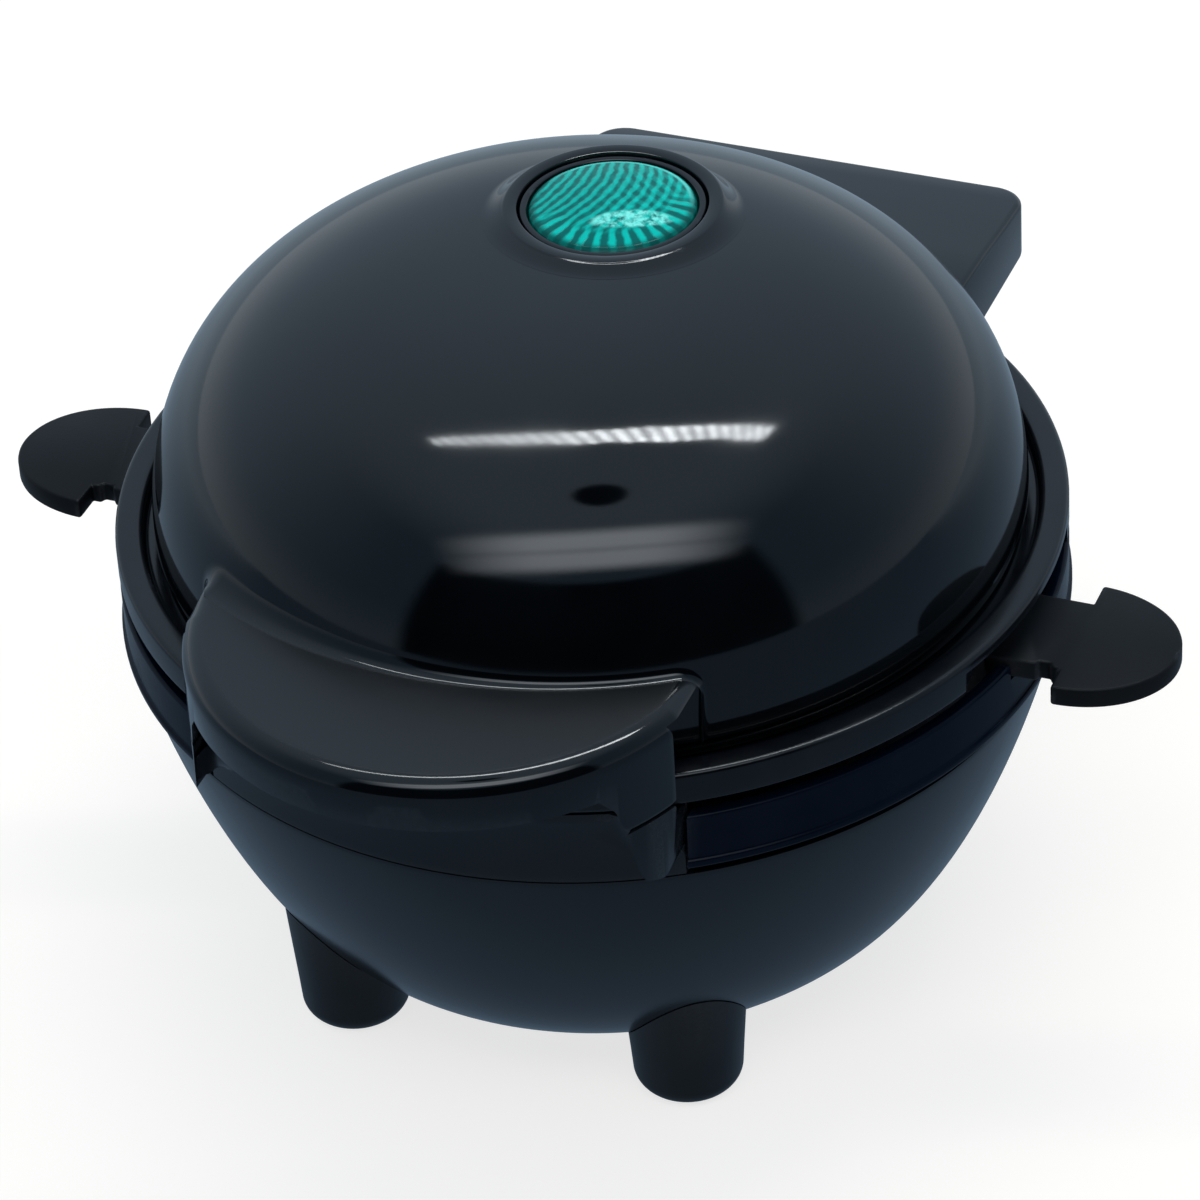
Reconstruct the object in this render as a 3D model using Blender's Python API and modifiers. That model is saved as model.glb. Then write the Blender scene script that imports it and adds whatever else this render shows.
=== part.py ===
"""Mini donut maker: a domed lid hinged at the back of a round bowl on four legs.

Units are metres, +Z is up and the front handle points to -Y.  Everything is drawn in a
local frame whose origin is the centre of the lid ring's flat top; one empty carries that
frame to its place above the table, and a second empty on the hinge axis carries the lid.
"""
import math

import bmesh
import bpy
from mathutils import Matrix, Vector

# ---------------------------------------------------------------- driving dimensions
RING_RADIUS = 0.0650          # outside of the lid ring and the base ring
STAND_HEIGHT = 0.0690         # lid ring's top above the table
HANDLE_FRONT_Y = -0.0813      # front of the lid's handle
HINGE_BACK_Y = 0.0910         # back of the hinge cover
TAB_REACH = 0.0846            # tip of a side tab from the centre plane
OPEN_ANGLE_DEG = 100          # how far the lid opens

GAP = 0.0003                  # clearance between touching pieces
WALL = 0.0022                 # moulded wall thickness
TURN_STEPS = 40               # facets round the large turned pieces
MID_STEPS = 24                # facets round the lamp and its opening
SMALL_STEPS = 16              # facets round legs, cavities and small turned pieces
SCREW_STEPS = 8               # facets round screws

# lid dome: a superellipse, steep at its foot and nearly flat on top
DOME_RADIUS = 0.0596
DOME_FOOT_Z = 0.0008
DOME_HEIGHT = 0.0367
DOME_LIP_RADIUS = 0.0588      # lip that drops inside the lid ring
DOME_LIP_BOTTOM_Z = -0.0021
DOME_POWER_R = 3.0
DOME_POWER_Z = 2.14

# indicator lamp, set behind the dome's apex
LAMP_Y = 0.0133
LENS_RADIUS = 0.0113
BEZEL_RADIUS = 0.0126
COLLAR_RADIUS = 0.0150
COLLAR_TOP_Z = 0.0382
LENS_CROWN_Z = 0.0392

# front handle: a round-fronted plate that runs out of the dome, with a skirt outside the rings
# that is shallow in front and has a tongue at each end
HANDLE_RADIUS = 0.0363
HANDLE_HALF_WIDTH = 0.03465    # its straight sides
HANDLE_Y = HANDLE_FRONT_Y + HANDLE_RADIUS
HANDLE_TOP_Z = 0.0107
HANDLE_UNDER_Z = 0.0092
HANDLE_LIP = 0.0028
SKIRT_FRONT_Z = 0.0036
SKIRT_BOTTOM_Z = -0.0029
SKIRT_CLEAR_RADIUS = 0.0668   # the skirt exists only outside this radius
TONGUE_INNER = [(0.0280, SKIRT_FRONT_Z), (0.0294, 0.0012), (0.0302, SKIRT_BOTTOM_Z)]

# grip on the base: a wall in front of the rings' line, between two posts under the tongues
GRIP_HALF_WIDTH = 0.0336
GRIP_INNER_RADIUS = 0.0631
GRIP_TOP_Z = -0.0054          # just under the lid ring
GRIP_POST = [(0.0302, -0.0033), (0.0312, -0.0106), (0.0317, -0.0124), (0.0331, -0.0134),
             (0.0337, -0.0118), (0.0341, -0.0033)]

# rings: each has a wall outside and a web that runs inward to carry a plate or a pan
LID_RING_BOTTOM_Z = -0.0050
LID_RING_FLAT_INNER = 0.0612
LID_WEB_TOP_Z = -0.0024
LID_WEB_BOTTOM_Z = -0.0042
LID_WEB_INNER = 0.0560
BASE_RING_TOP_Z = -0.0070
BASE_RING_BOTTOM_Z = -0.0152
BASE_WEB_TOP_Z = -0.0134
BASE_WEB_INNER = 0.0580
BASE_LIP = 0.0004             # bead round the foot of the base ring
RING_WALL_INNER = RING_RADIUS - 0.0020

# bowl: runs from a shoulder under the base ring to a flat floor
BOWL_TOP_RADIUS = 0.0637
BOWL_TOP_Z = -0.0172
BOWL_FLOOR_RADIUS = 0.0378
BOWL_FLOOR_Z = -0.0620
BOWL_POWER_R = 1.94
BOWL_POWER_Z = 1.13
NECK_RADIUS = 0.0614
NECK_TOP_Z = -0.0155
BOWL_OPENING_RADIUS = 0.0320  # hole in the bowl's floor, under the bottom cover

INLET_Z = -0.0400             # height of the mains inlet on the back of the bowl
INLET_BORE_RADIUS = 0.0043
COVER_SCREW_OFFSET = 0.0350
SCREW_HOLE_RADIUS = 0.0016

# legs
LEG_X = 0.0246
LEG_Y = 0.0354
LEG_TOP_RADIUS = 0.0092
LEG_FOOT_RADIUS = 0.0076
LEG_ROUND = 0.0030
LEG_TOP_Z = -0.0420           # above the bowl's wall, which trims the leg's top

# side tabs
TAB_TOP_Z = -0.0060
TAB_THICKNESS = 0.0030
TAB_Y = -0.0041
TAB_HEAD_START = 0.0705       # where the head begins, from the centre plane
TAB_HEAD_HALF = 0.0119
TAB_NECK_HALF = 0.0076

# hinge
HINGE_Y = 0.0830
HINGE_Z = -0.0060
HINGE_HALF_WIDTH = 0.0334
HINGE_COVER_BOTTOM_Z = -0.0098
PIN_RADIUS = 0.0015
PIN_HALF_LENGTH = 0.0290
PIN_STEPS = 12
KNUCKLE_RADIUS = 0.0033
KNUCKLE_X = (0.0110, 0.0170)  # the lid's arms lie inside the bracket's lugs
LUG_X = (0.0190, 0.0270)
BRACKET_HALF_WIDTH = 0.0300
BRACKET_BACK_Y = 0.0766
BRACKET_TOP_Z = -0.0104
BRACKET_BOTTOM_Z = -0.0200

# cooking plates
PLATE_RADIUS = 0.0555
PLATE_THICKNESS = 0.0032
UPPER_FACE_Z = -0.0058
LOWER_FACE_Z = -0.0062
DONUT_OFFSET = 0.0280         # cavity centres from the plate's centre
DONUT_MEAN_RADIUS = 0.0125
DONUT_TUBE_RADIUS = 0.0065
PLATE_SCREW_OFFSET = 0.0465
PLATE_BOSS_RADIUS = 0.0034
PAN_DEPTH = 0.0160            # from a plate's face to its pan's floor
PAN_SHEET = 0.0008
ELEMENT_DEPTH = 0.0118        # from a plate's face to its heater's centre line
ELEMENT_RADIUS = 0.0280
ELEMENT_TUBE = 0.0030
ELEMENT_GAP_DEG = 14          # half the gap between the loop's two ends

# the frame's place on the table: Y is chosen so that the box around the object is centred
FRAME_Y = -(HANDLE_FRONT_Y + HINGE_BACK_Y) / 2
FRAME_ORIGIN = Vector((0.0, FRAME_Y, STAND_HEIGHT))
HINGE_POINT = Vector((0.0, HINGE_Y, HINGE_Z))


# ---------------------------------------------------------------- scene and materials
def clear_scene():
    for obj in list(bpy.data.objects):
        bpy.data.objects.remove(obj, do_unlink=True)


def new_collection(name):
    collection = bpy.data.collections.new(name)
    bpy.context.scene.collection.children.link(collection)
    return collection


def material(name, colour, roughness, metallic=0.0, transmission=0.0):
    mat = bpy.data.materials.new(name)
    mat.use_nodes = True
    shader = mat.node_tree.nodes["Principled BSDF"]
    shader.inputs["Base Color"].default_value = (*colour, 1.0)
    shader.inputs["Roughness"].default_value = roughness
    shader.inputs["Metallic"].default_value = metallic
    shader.inputs["Transmission Weight"].default_value = transmission
    mat.diffuse_color = (*colour, 1.0)
    return mat


def empty(name, location, parent=None):
    obj = bpy.data.objects.new(name, None)
    PARTS.objects.link(obj)
    obj.empty_display_size = 0.02
    obj.parent = parent
    obj.location = location
    return obj


# ---------------------------------------------------------------- shape helpers
def place(obj, collection, mat=None, parent=None):
    """Puts an object drawn in the local frame under an empty, wherever that empty stands."""
    collection.objects.link(obj)
    if mat:
        obj.data.materials.append(mat)
    obj.parent = parent
    if parent is LID_HINGE:
        obj.location -= HINGE_POINT
    return obj


def as_part(obj, mat, parent):
    if obj.type == "MESH":
        obj.data.shade_smooth()
        obj.data.set_sharp_from_angle(angle=math.radians(35))
    return place(obj, PARTS, mat, parent)


def as_cutter(obj, parent):
    place(obj, CUTTERS, None, parent)
    obj.hide_render = True
    obj.display_type = "WIRE"
    return obj


def mesh_object(name, builder):
    """A new object whose mesh is filled by builder(bm)."""
    mesh = bpy.data.meshes.new(name)
    bm = bmesh.new()
    builder(bm)
    bm.to_mesh(mesh)
    bm.free()
    return bpy.data.objects.new(name, mesh)


def cylinder(name, radius, z_low, z_high, x=0.0, y=0.0, steps=SMALL_STEPS, top_radius=None):
    def build(bm):
        bmesh.ops.create_cone(
            bm, cap_ends=True, segments=steps, radius1=radius,
            radius2=radius if top_radius is None else top_radius, depth=z_high - z_low)
    obj = mesh_object(name, build)
    obj.location = (x, y, (z_low + z_high) / 2)
    return obj


def box(name, low, high):
    low, high = Vector(low), Vector(high)

    def build(bm):
        bmesh.ops.create_cube(bm, size=1.0, matrix=Matrix.Diagonal((*(high - low), 1.0)))
    obj = mesh_object(name, build)
    obj.location = (low + high) / 2
    return obj


def turned(name, profile, closed, steps=TURN_STEPS, x=0.0, y=0.0):
    """Turns a profile of (radius, z) points about a vertical axis.

    A closed profile is a ring's cross-section; an open one starts and ends on the axis.
    Either runs down the outer side first."""
    def build(bm):
        verts = [bm.verts.new((r, 0.0, z)) for r, z in profile]
        for a, b in zip(verts, verts[1:]):
            bm.edges.new((a, b))
        if closed:
            bm.edges.new((verts[-1], verts[0]))
    obj = mesh_object(name, build)
    obj.location = (x, y, 0.0)
    screw = obj.modifiers.new("turn", "SCREW")
    screw.angle = 2 * math.pi
    screw.steps = steps
    screw.render_steps = steps
    screw.use_merge_vertices = True
    screw.merge_threshold = 0.00001
    screw.use_smooth_shade = True
    return obj


def outline(name, points, thickness):
    """A slab from a closed flat outline, drawn as a filled curve and made a mesh."""
    curve = bpy.data.curves.new(name, "CURVE")
    curve.dimensions = "2D"
    curve.fill_mode = "BOTH"
    curve.extrude = thickness / 2
    spline = curve.splines.new("POLY")
    spline.points.add(len(points) - 1)
    for point, (u, v) in zip(spline.points, points):
        point.co = (u, v, 0.0, 1.0)
    spline.use_cyclic_u = True
    drawn = bpy.data.objects.new(name, curve)
    CUTTERS.objects.link(drawn)
    evaluated = drawn.evaluated_get(bpy.context.evaluated_depsgraph_get())
    mesh = bpy.data.meshes.new_from_object(evaluated)
    bpy.data.objects.remove(drawn)
    bpy.data.curves.remove(curve)
    bm = bmesh.new()
    bm.from_mesh(mesh)
    bmesh.ops.remove_doubles(bm, verts=bm.verts, dist=0.000001)
    bmesh.ops.dissolve_limit(bm, angle_limit=0.001, verts=bm.verts, edges=bm.edges)
    bmesh.ops.recalc_face_normals(bm, faces=bm.faces)
    bm.to_mesh(mesh)
    bm.free()
    return bpy.data.objects.new(name, mesh)


def plan_outline(name, points, z_low, z_high):
    """A slab whose (x, y) outline is seen from above."""
    obj = outline(name, points, z_high - z_low)
    obj.location.z = (z_low + z_high) / 2
    return obj


def side_outline(name, points, x_low, x_high):
    """A slab whose (y, z) outline is seen from the side."""
    obj = outline(name, points, x_high - x_low)
    obj.data.transform(Matrix.Rotation(math.radians(90), 4, "Z")
                       @ Matrix.Rotation(math.radians(90), 4, "X"))
    obj.location.x = (x_low + x_high) / 2
    return obj


def front_outline(name, points, y_low, y_high):
    """A slab whose (x, z) outline is seen from the front."""
    obj = outline(name, points, y_high - y_low)
    obj.data.transform(Matrix.Rotation(math.radians(90), 4, "X"))
    obj.location.y = (y_low + y_high) / 2
    return obj


def tube(name, points, radius, cyclic=False, resolution=2):
    """A round rod along a list of points, with its ends closed."""
    curve = bpy.data.curves.new(name, "CURVE")
    curve.dimensions = "3D"
    curve.bevel_depth = radius
    curve.bevel_resolution = resolution
    curve.use_fill_caps = True
    spline = curve.splines.new("POLY")
    spline.points.add(len(points) - 1)
    for point, position in zip(spline.points, points):
        point.co = (*position, 1.0)
    spline.use_cyclic_u = cyclic
    return bpy.data.objects.new(name, curve)


def cut(obj, cutter, operation="DIFFERENCE"):
    modifier = obj.modifiers.new(operation.lower(), "BOOLEAN")
    modifier.object = cutter
    modifier.operation = operation
    modifier.solver = "EXACT"
    return obj


def bevel(obj, width, segments=2, angle_deg=40):
    modifier = obj.modifiers.new("edge", "BEVEL")
    modifier.width = width
    modifier.segments = segments
    modifier.limit_method = "ANGLE"
    modifier.angle_limit = math.radians(angle_deg)
    return obj


def round_over_top(obj, width, top_z):
    """Bevels only the edges that lie in the object's top plane."""
    modifier = bevel(obj, width, 3).modifiers["edge"]
    modifier.limit_method = "WEIGHT"
    weights = obj.data.attributes.new("bevel_weight_edge", "FLOAT", "EDGE")
    for edge in obj.data.edges:
        ends = [obj.location.z + obj.data.vertices[i].co.z for i in edge.vertices]
        weights.data[edge.index].value = 1.0 if min(ends) > top_z - 0.0001 else 0.0


def arc(centre, radius, start_deg, end_deg, count):
    """Points on an arc in the plane, both ends included."""
    points = []
    for i in range(count):
        angle = math.radians(start_deg + (end_deg - start_deg) * i / (count - 1))
        points.append((centre[0] + radius * math.cos(angle), centre[1] + radius * math.sin(angle)))
    return points


def offset_profile(points, distance):
    """Moves each point of a (radius, z) profile inward, at right angles to the curve."""
    moved = []
    for i, (r, z) in enumerate(points):
        before = points[max(i - 1, 0)]
        after = points[min(i + 1, len(points) - 1)]
        along = Vector((after[0] - before[0], after[1] - before[1])).normalized()
        moved.append((max(r + along.y * distance, 0.0), z - along.x * distance))
    return moved


def handle_outline(inset):
    """Plan outline of the handle: a round front between straight sides that end in the dome."""
    radius = HANDLE_RADIUS - inset
    half = HANDLE_HALF_WIDTH - inset
    side_angle = math.degrees(math.acos(half / radius))
    front = arc((0.0, HANDLE_Y), radius, -side_angle, side_angle - 180, 23)
    return [(half, HANDLE_Y + 0.0060), *front, (-half, HANDLE_Y + 0.0060)]


def superellipse(count, foot_r, foot_z, end_r, end_z, power_r, power_z):
    """(radius, z) points from the foot to the end of a superelliptic quarter."""
    points = []
    for i in range(count):
        t = (math.pi / 2) * i / (count - 1)
        r = end_r + (foot_r - end_r) * max(math.cos(t), 0.0) ** (2 / power_r)
        z = foot_z + (end_z - foot_z) * math.sin(t) ** (2 / power_z)
        points.append((r, z))
    return points


def dome_profile(count=10):
    """Outer side of the dome, from the apex down to its foot."""
    rising = superellipse(count, DOME_RADIUS, DOME_FOOT_Z, 0.0, DOME_FOOT_Z + DOME_HEIGHT,
                          DOME_POWER_R, DOME_POWER_Z)
    rising[-1] = (0.0, DOME_FOOT_Z + DOME_HEIGHT)
    return rising[::-1]


def bowl_profile(count=9):
    """Outer side of the bowl, from its shoulder down to its floor."""
    return superellipse(count, BOWL_TOP_RADIUS, BOWL_TOP_Z, BOWL_FLOOR_RADIUS, BOWL_FLOOR_Z,
                        BOWL_POWER_R, BOWL_POWER_Z)


def donut_centres():
    for i in range(4):
        angle = math.radians(90 * i)
        yield DONUT_OFFSET * math.cos(angle), DONUT_OFFSET * math.sin(angle)


def screw_places():
    for i in range(4):
        angle = math.radians(45 + 90 * i)
        yield i + 1, PLATE_SCREW_OFFSET * math.cos(angle), PLATE_SCREW_OFFSET * math.sin(angle)


# ---------------------------------------------------------------- lid
def lid_shell():
    """Glossy dome with the lamp's collar and the front handle moulded in."""
    outer = dome_profile()
    inner = offset_profile(dome_profile(7), WALL)
    inner[0] = (0.0, outer[0][1] - WALL)
    rim = [(DOME_LIP_RADIUS, DOME_FOOT_Z), (DOME_LIP_RADIUS, DOME_LIP_BOTTOM_Z),
           (inner[-1][0], DOME_LIP_BOTTOM_Z)]
    shell = turned("lid_shell", outer + rim + inner[::-1][1:], closed=False)
    as_part(shell, GLOSS, LID_HINGE)

    handle = plan_outline("add_handle", handle_outline(0.0), SKIRT_BOTTOM_Z, HANDLE_TOP_Z)
    as_cutter(handle, LID_HINGE)
    round_over_top(handle, HANDLE_LIP, HANDLE_TOP_Z)
    hollow = plan_outline("cut_handle_hollow", handle_outline(WALL), -0.02, HANDLE_UNDER_Z)
    cut(handle, as_cutter(hollow, LID_HINGE))
    ring_room = cylinder("cut_handle_ring_room", SKIRT_CLEAR_RADIUS, -0.02, HANDLE_UNDER_Z,
                         steps=TURN_STEPS)
    cut(handle, as_cutter(ring_room, LID_HINGE))
    inside = cylinder("cut_handle_inside_dome", DOME_RADIUS - 0.0024, -0.02, 0.02,
                      steps=TURN_STEPS)
    cut(handle, as_cutter(inside, LID_HINGE))
    right = TONGUE_INNER + [(TONGUE_INNER[-1][0], -0.0200)]
    left = [(-x, z) for x, z in right]
    fingers = front_outline("cut_handle_fingers", right + left[::-1], -0.0900, -0.0500)
    cut(handle, as_cutter(fingers, LID_HINGE))
    cut(shell, handle, "UNION")

    collar = cylinder("add_lamp_collar", COLLAR_RADIUS + 0.0008, 0.0345, COLLAR_TOP_Z,
                      y=LAMP_Y, steps=MID_STEPS, top_radius=COLLAR_RADIUS)
    cut(shell, as_cutter(collar, LID_HINGE), "UNION")
    lamp_hole = cylinder("cut_lamp_hole", BEZEL_RADIUS + GAP, 0.02, 0.05, y=LAMP_Y,
                         steps=MID_STEPS)
    cut(shell, as_cutter(lamp_hole, LID_HINGE))


def lid_ring():
    """Flat ring round the dome, with a wall outside and a web that carries the plate."""
    profile = [
        (LID_RING_FLAT_INNER, 0.0), (RING_RADIUS - 0.0012, 0.0),
        (RING_RADIUS - 0.00035, -0.00035), (RING_RADIUS, -0.0012),
        (RING_RADIUS, LID_RING_BOTTOM_Z), (RING_WALL_INNER, LID_RING_BOTTOM_Z),
        (RING_WALL_INNER, LID_WEB_BOTTOM_Z), (LID_WEB_INNER, LID_WEB_BOTTOM_Z),
        (LID_WEB_INNER, LID_WEB_TOP_Z), (LID_RING_FLAT_INNER, LID_WEB_TOP_Z)]
    ring = as_part(turned("lid_ring", profile, closed=True), SATIN, LID_HINGE)
    for side in (-1, 1):
        x = sorted((side * 0.0605, side * 0.0700))
        notch = box(f"cut_lid_ring_notch_{side + 2}", (x[0], TAB_Y - 0.0180, -0.0070),
                    (x[1], TAB_Y + 0.0180, -0.0016))
        cut(ring, as_cutter(notch, LID_HINGE))
    for side in (-1, 1):
        x = sorted((side * KNUCKLE_X[0], side * KNUCKLE_X[1]))
        arm = hinge_arm(f"add_lid_knuckle_{side + 2}", x, front_y=0.0615, front_top=-0.0028,
                        front_bottom=-0.0048)
        cut(ring, as_cutter(arm, LID_HINGE), "UNION")
    cut(ring, as_cutter(pin_bore("cut_lid_knuckle_bore"), LID_HINGE))


def hinge_arm(name, x, front_y, front_top, front_bottom):
    """A flat arm with a round end on the hinge axis, reaching forward to front_y."""
    end = arc((HINGE_Y, HINGE_Z), KNUCKLE_RADIUS, 90, -90, 9)
    return side_outline(name, [(front_y, front_bottom), (front_y, front_top)] + end, *x)


def pin_bore(name):
    bore = cylinder(name, PIN_RADIUS + GAP, -HINGE_HALF_WIDTH, HINGE_HALF_WIDTH,
                    steps=PIN_STEPS)
    bore.rotation_euler.y = math.pi / 2
    bore.location = HINGE_POINT
    return bore


def hinge_cover():
    """Wide cover behind the dome: open underneath, it hides the knuckles and the pin."""
    half, back, corner, wall = HINGE_HALF_WIDTH, HINGE_BACK_Y, 0.0050, 0.0020
    bottom = HINGE_COVER_BOTTOM_Z
    roof = [(0.0560, 0.0024), (0.0700, 0.0014), (0.0800, 0.0003), (back, -0.0006)]
    cover = side_outline("hinge_cover", roof + [(back, bottom), (0.0560, bottom)], -half, half)
    as_part(cover, GLOSS, LID_HINGE)
    plan = [(-half, 0.0400), (half, 0.0400)]
    plan += arc((half - corner, back - corner), corner, 0, 90, 6)
    plan += arc((-half + corner, back - corner), corner, 90, 180, 6)
    outline = plan_outline("keep_hinge_plan", plan, -0.02, 0.02)
    cut(cover, as_cutter(outline, LID_HINGE), "INTERSECT")
    bevel(cover, 0.0008, 2, 50)

    inner = [(y - (wall if i == 3 else 0.0), z - wall) for i, (y, z) in enumerate(roof)]
    inner = inner + [(back - wall, -0.0200), (0.0560, -0.0200)]
    hollow = side_outline("cut_hinge_hollow", inner, -half + wall, half - wall)
    front_stop = cylinder("cut_hinge_front_stop", RING_RADIUS + 0.0022, -0.03, 0.02,
                          steps=TURN_STEPS)
    cut(hollow, as_cutter(front_stop, LID_HINGE))
    cut(cover, as_cutter(hollow, LID_HINGE))
    dome_room = cylinder("cut_hinge_dome_room", DOME_RADIUS + 0.0004, -0.02, 0.02,
                         steps=TURN_STEPS)
    cut(cover, as_cutter(dome_room, LID_HINGE))
    ring_room = cylinder("cut_hinge_ring_room", RING_RADIUS + 0.0004, -0.02, GAP,
                         steps=TURN_STEPS)
    cut(cover, as_cutter(ring_room, LID_HINGE))
    knuckle_room = box("cut_hinge_knuckle_room", (-0.0175, 0.0600, -0.0200),
                       (0.0175, 0.0700, -0.0024))
    cut(cover, as_cutter(knuckle_room, LID_HINGE))


def lamp():
    """Bezel, ribbed lens, neon lamp and the cup that holds it under the dome."""
    bezel = turned("lamp_bezel", [
        (0.0116, COLLAR_TOP_Z - 0.0004), (BEZEL_RADIUS, COLLAR_TOP_Z - 0.0004),
        (BEZEL_RADIUS, 0.0300), (0.0100, 0.0300), (0.0100, 0.0315), (0.0116, 0.0315)],
        closed=True, steps=MID_STEPS, y=LAMP_Y)
    as_part(bezel, SATIN, LID_HINGE)
    crown = LENS_CROWN_Z
    lens = turned("lamp_lens", [
        (0.0, crown), (0.0060, crown - 0.0004), (0.0100, crown - 0.0012),
        (LENS_RADIUS, crown - 0.0020), (LENS_RADIUS, 0.0320), (0.0095, 0.0320),
        (0.0095, 0.0355), (0.0, 0.0355)], closed=False, steps=MID_STEPS, y=LAMP_Y)
    as_part(lens, LENS_GREEN, LID_HINGE)
    holder = turned("lamp_holder", [
        (0.0, 0.0215), (0.0050, 0.0215), (0.0050, 0.0285), (0.0110, 0.0285),
        (0.0110, 0.0295), (0.0040, 0.0295), (0.0040, 0.0225), (0.0, 0.0225)][::-1],
        closed=False, steps=SMALL_STEPS, y=LAMP_Y)
    as_part(holder, DARK, LID_HINGE)
    neon = turned("neon_lamp", [
        (0.0, 0.0345), (0.0018, 0.0338), (0.0028, 0.0320), (0.0028, 0.0229),
        (0.0, 0.0229)], closed=False, steps=SMALL_STEPS, y=LAMP_Y)
    as_part(neon, NEON_GLASS, LID_HINGE)


def cooking_plate(name, parent, face_z, away):
    """A plate with four ring-shaped cavities; away is +1 where its back faces up."""
    back_z = face_z + away * PLATE_THICKNESS
    past_face = face_z - away * 0.0010
    plate = cylinder(name, PLATE_RADIUS, *sorted((past_face, back_z)), steps=TURN_STEPS)
    as_part(plate, NONSTICK, parent)
    for i, (x, y) in enumerate(donut_centres()):
        back = ring_body(f"add_{name}_cavity_{i + 1}", x, y, face_z, away,
                         DONUT_TUBE_RADIUS + 0.0018)
        cut(plate, as_cutter(back, parent), "UNION")
    for number, x, y in screw_places():
        span = sorted((back_z - away * 0.0006, face_z + away * 0.0148))
        boss = cylinder(f"add_{name}_boss_{number}", PLATE_BOSS_RADIUS, *span, x=x, y=y,
                        steps=10)
        cut(plate, as_cutter(boss, parent), "UNION")
    beyond = sorted((face_z, face_z - away * 0.0200))
    face_room = cylinder(f"cut_{name}_face", PLATE_RADIUS + 0.0020, *beyond, steps=TURN_STEPS)
    cut(plate, as_cutter(face_room, parent))
    for i, (x, y) in enumerate(donut_centres()):
        groove = ring_body(f"cut_{name}_cavity_{i + 1}", x, y, face_z, away,
                           DONUT_TUBE_RADIUS)
        cut(plate, as_cutter(groove, parent))
    for number, x, y in screw_places():
        span = sorted((face_z + away * 0.0060, face_z + away * 0.0200))
        hole = cylinder(f"cut_{name}_hole_{number}", SCREW_HOLE_RADIUS, *span, x=x, y=y,
                        steps=SCREW_STEPS)
        cut(plate, as_cutter(hole, parent))


def ring_body(name, x, y, face_z, away, tube_radius):
    """Half a donut behind the plate's face, running a little past the face."""
    past_face = face_z - away * 0.0005
    section = arc((DONUT_MEAN_RADIUS, face_z), tube_radius, 0, away * 180, 7)
    section = [(section[0][0], past_face), *section[1:-1], (section[-1][0], past_face)]
    if away > 0:
        section = section[::-1]
    return turned(name, section, closed=True, steps=SMALL_STEPS, x=x, y=y)


def element_end(side):
    angle = math.radians(ELEMENT_GAP_DEG)
    return side * ELEMENT_RADIUS * math.sin(angle), ELEMENT_RADIUS * math.cos(angle)


def heating_element(name, parent, z, away):
    """An open loop of sheathed heater with both ends turned away from the plate."""
    loop = arc((0.0, 0.0), ELEMENT_RADIUS, 90 + ELEMENT_GAP_DEG, 450 - ELEMENT_GAP_DEG, 23)
    points = [(x, y, z) for x, y in loop]
    first, last = points[0], points[-1]
    points = [(first[0], first[1], z + away * 0.0040)] + points
    points = points + [(last[0], last[1], z + away * 0.0040)]
    as_part(tube(name, points, ELEMENT_TUBE), SHEATH, parent)


def heat_pan(name, parent, flange, flange_z, wall_radius, floor_z, away):
    """Pressed reflector pan behind a plate, with holes for the plate's screws."""
    inner = wall_radius - PAN_SHEET
    under_z = floor_z - away * PAN_SHEET
    corner_z = floor_z - away * 0.0020
    flange_low = flange_z - away * PAN_SHEET
    profile = [(0.0, floor_z), (wall_radius - 0.0020, floor_z), (wall_radius, corner_z),
               (wall_radius, flange_z), (flange, flange_z), (flange, flange_low),
               (inner, flange_low), (inner, corner_z), (inner - 0.0016, under_z),
               (0.0, under_z)]
    if away < 0:
        profile = profile[::-1]
    pan = as_part(turned(name, profile, closed=False, steps=32), ALUMINIUM, parent)
    for number, x, y in screw_places():
        hole = cylinder(f"cut_{name}_hole_{number}", 0.0019, floor_z - 0.003, floor_z + 0.003,
                        x=x, y=y, steps=SCREW_STEPS)
        cut(pan, as_cutter(hole, parent))
    for number, side in enumerate((-1, 1)):
        x, y = element_end(side)
        slot = cylinder(f"cut_{name}_lead_{number + 1}", 0.0040, floor_z - 0.003,
                        floor_z + 0.003, x=x, y=y, steps=SCREW_STEPS)
        cut(pan, as_cutter(slot, parent))


def screw(name, parent, x, y, head_z, away, shank_length, head_radius=0.0029,
          shank_radius=0.0013):
    """A pan-head screw whose head stands on head_z and whose shank runs the other way."""
    head = 0.0018
    profile = [(0.0, head_z + away * head), (head_radius * 0.7, head_z + away * head),
               (head_radius, head_z + away * head * 0.45), (head_radius, head_z),
               (shank_radius, head_z), (shank_radius, head_z - away * shank_length),
               (0.0, head_z - away * shank_length)]
    if away < 0:
        profile = profile[::-1]
    body = turned(name, profile, closed=False, steps=SCREW_STEPS, x=x, y=y)
    as_part(body, STEEL, parent)


def plate_screws(prefix, parent, pan_floor_z, away):
    for number, x, y in screw_places():
        screw(f"{prefix}_plate_screw_{number}", parent, x, y, pan_floor_z + away * GAP, away,
              0.0070)


def build_lid():
    lid_shell()
    lid_ring()
    hinge_cover()
    lamp()
    cooking_plate("upper_plate", LID_HINGE, UPPER_FACE_Z, 1)
    pan_floor = UPPER_FACE_Z + PAN_DEPTH
    heating_element("upper_heating_element", LID_HINGE, UPPER_FACE_Z + ELEMENT_DEPTH, 1)
    heat_pan("upper_heat_pan", LID_HINGE, flange=0.0570, flange_z=-0.0013,
             wall_radius=0.0525, floor_z=pan_floor, away=1)
    plate_screws("upper", LID_HINGE, pan_floor, 1)


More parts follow.
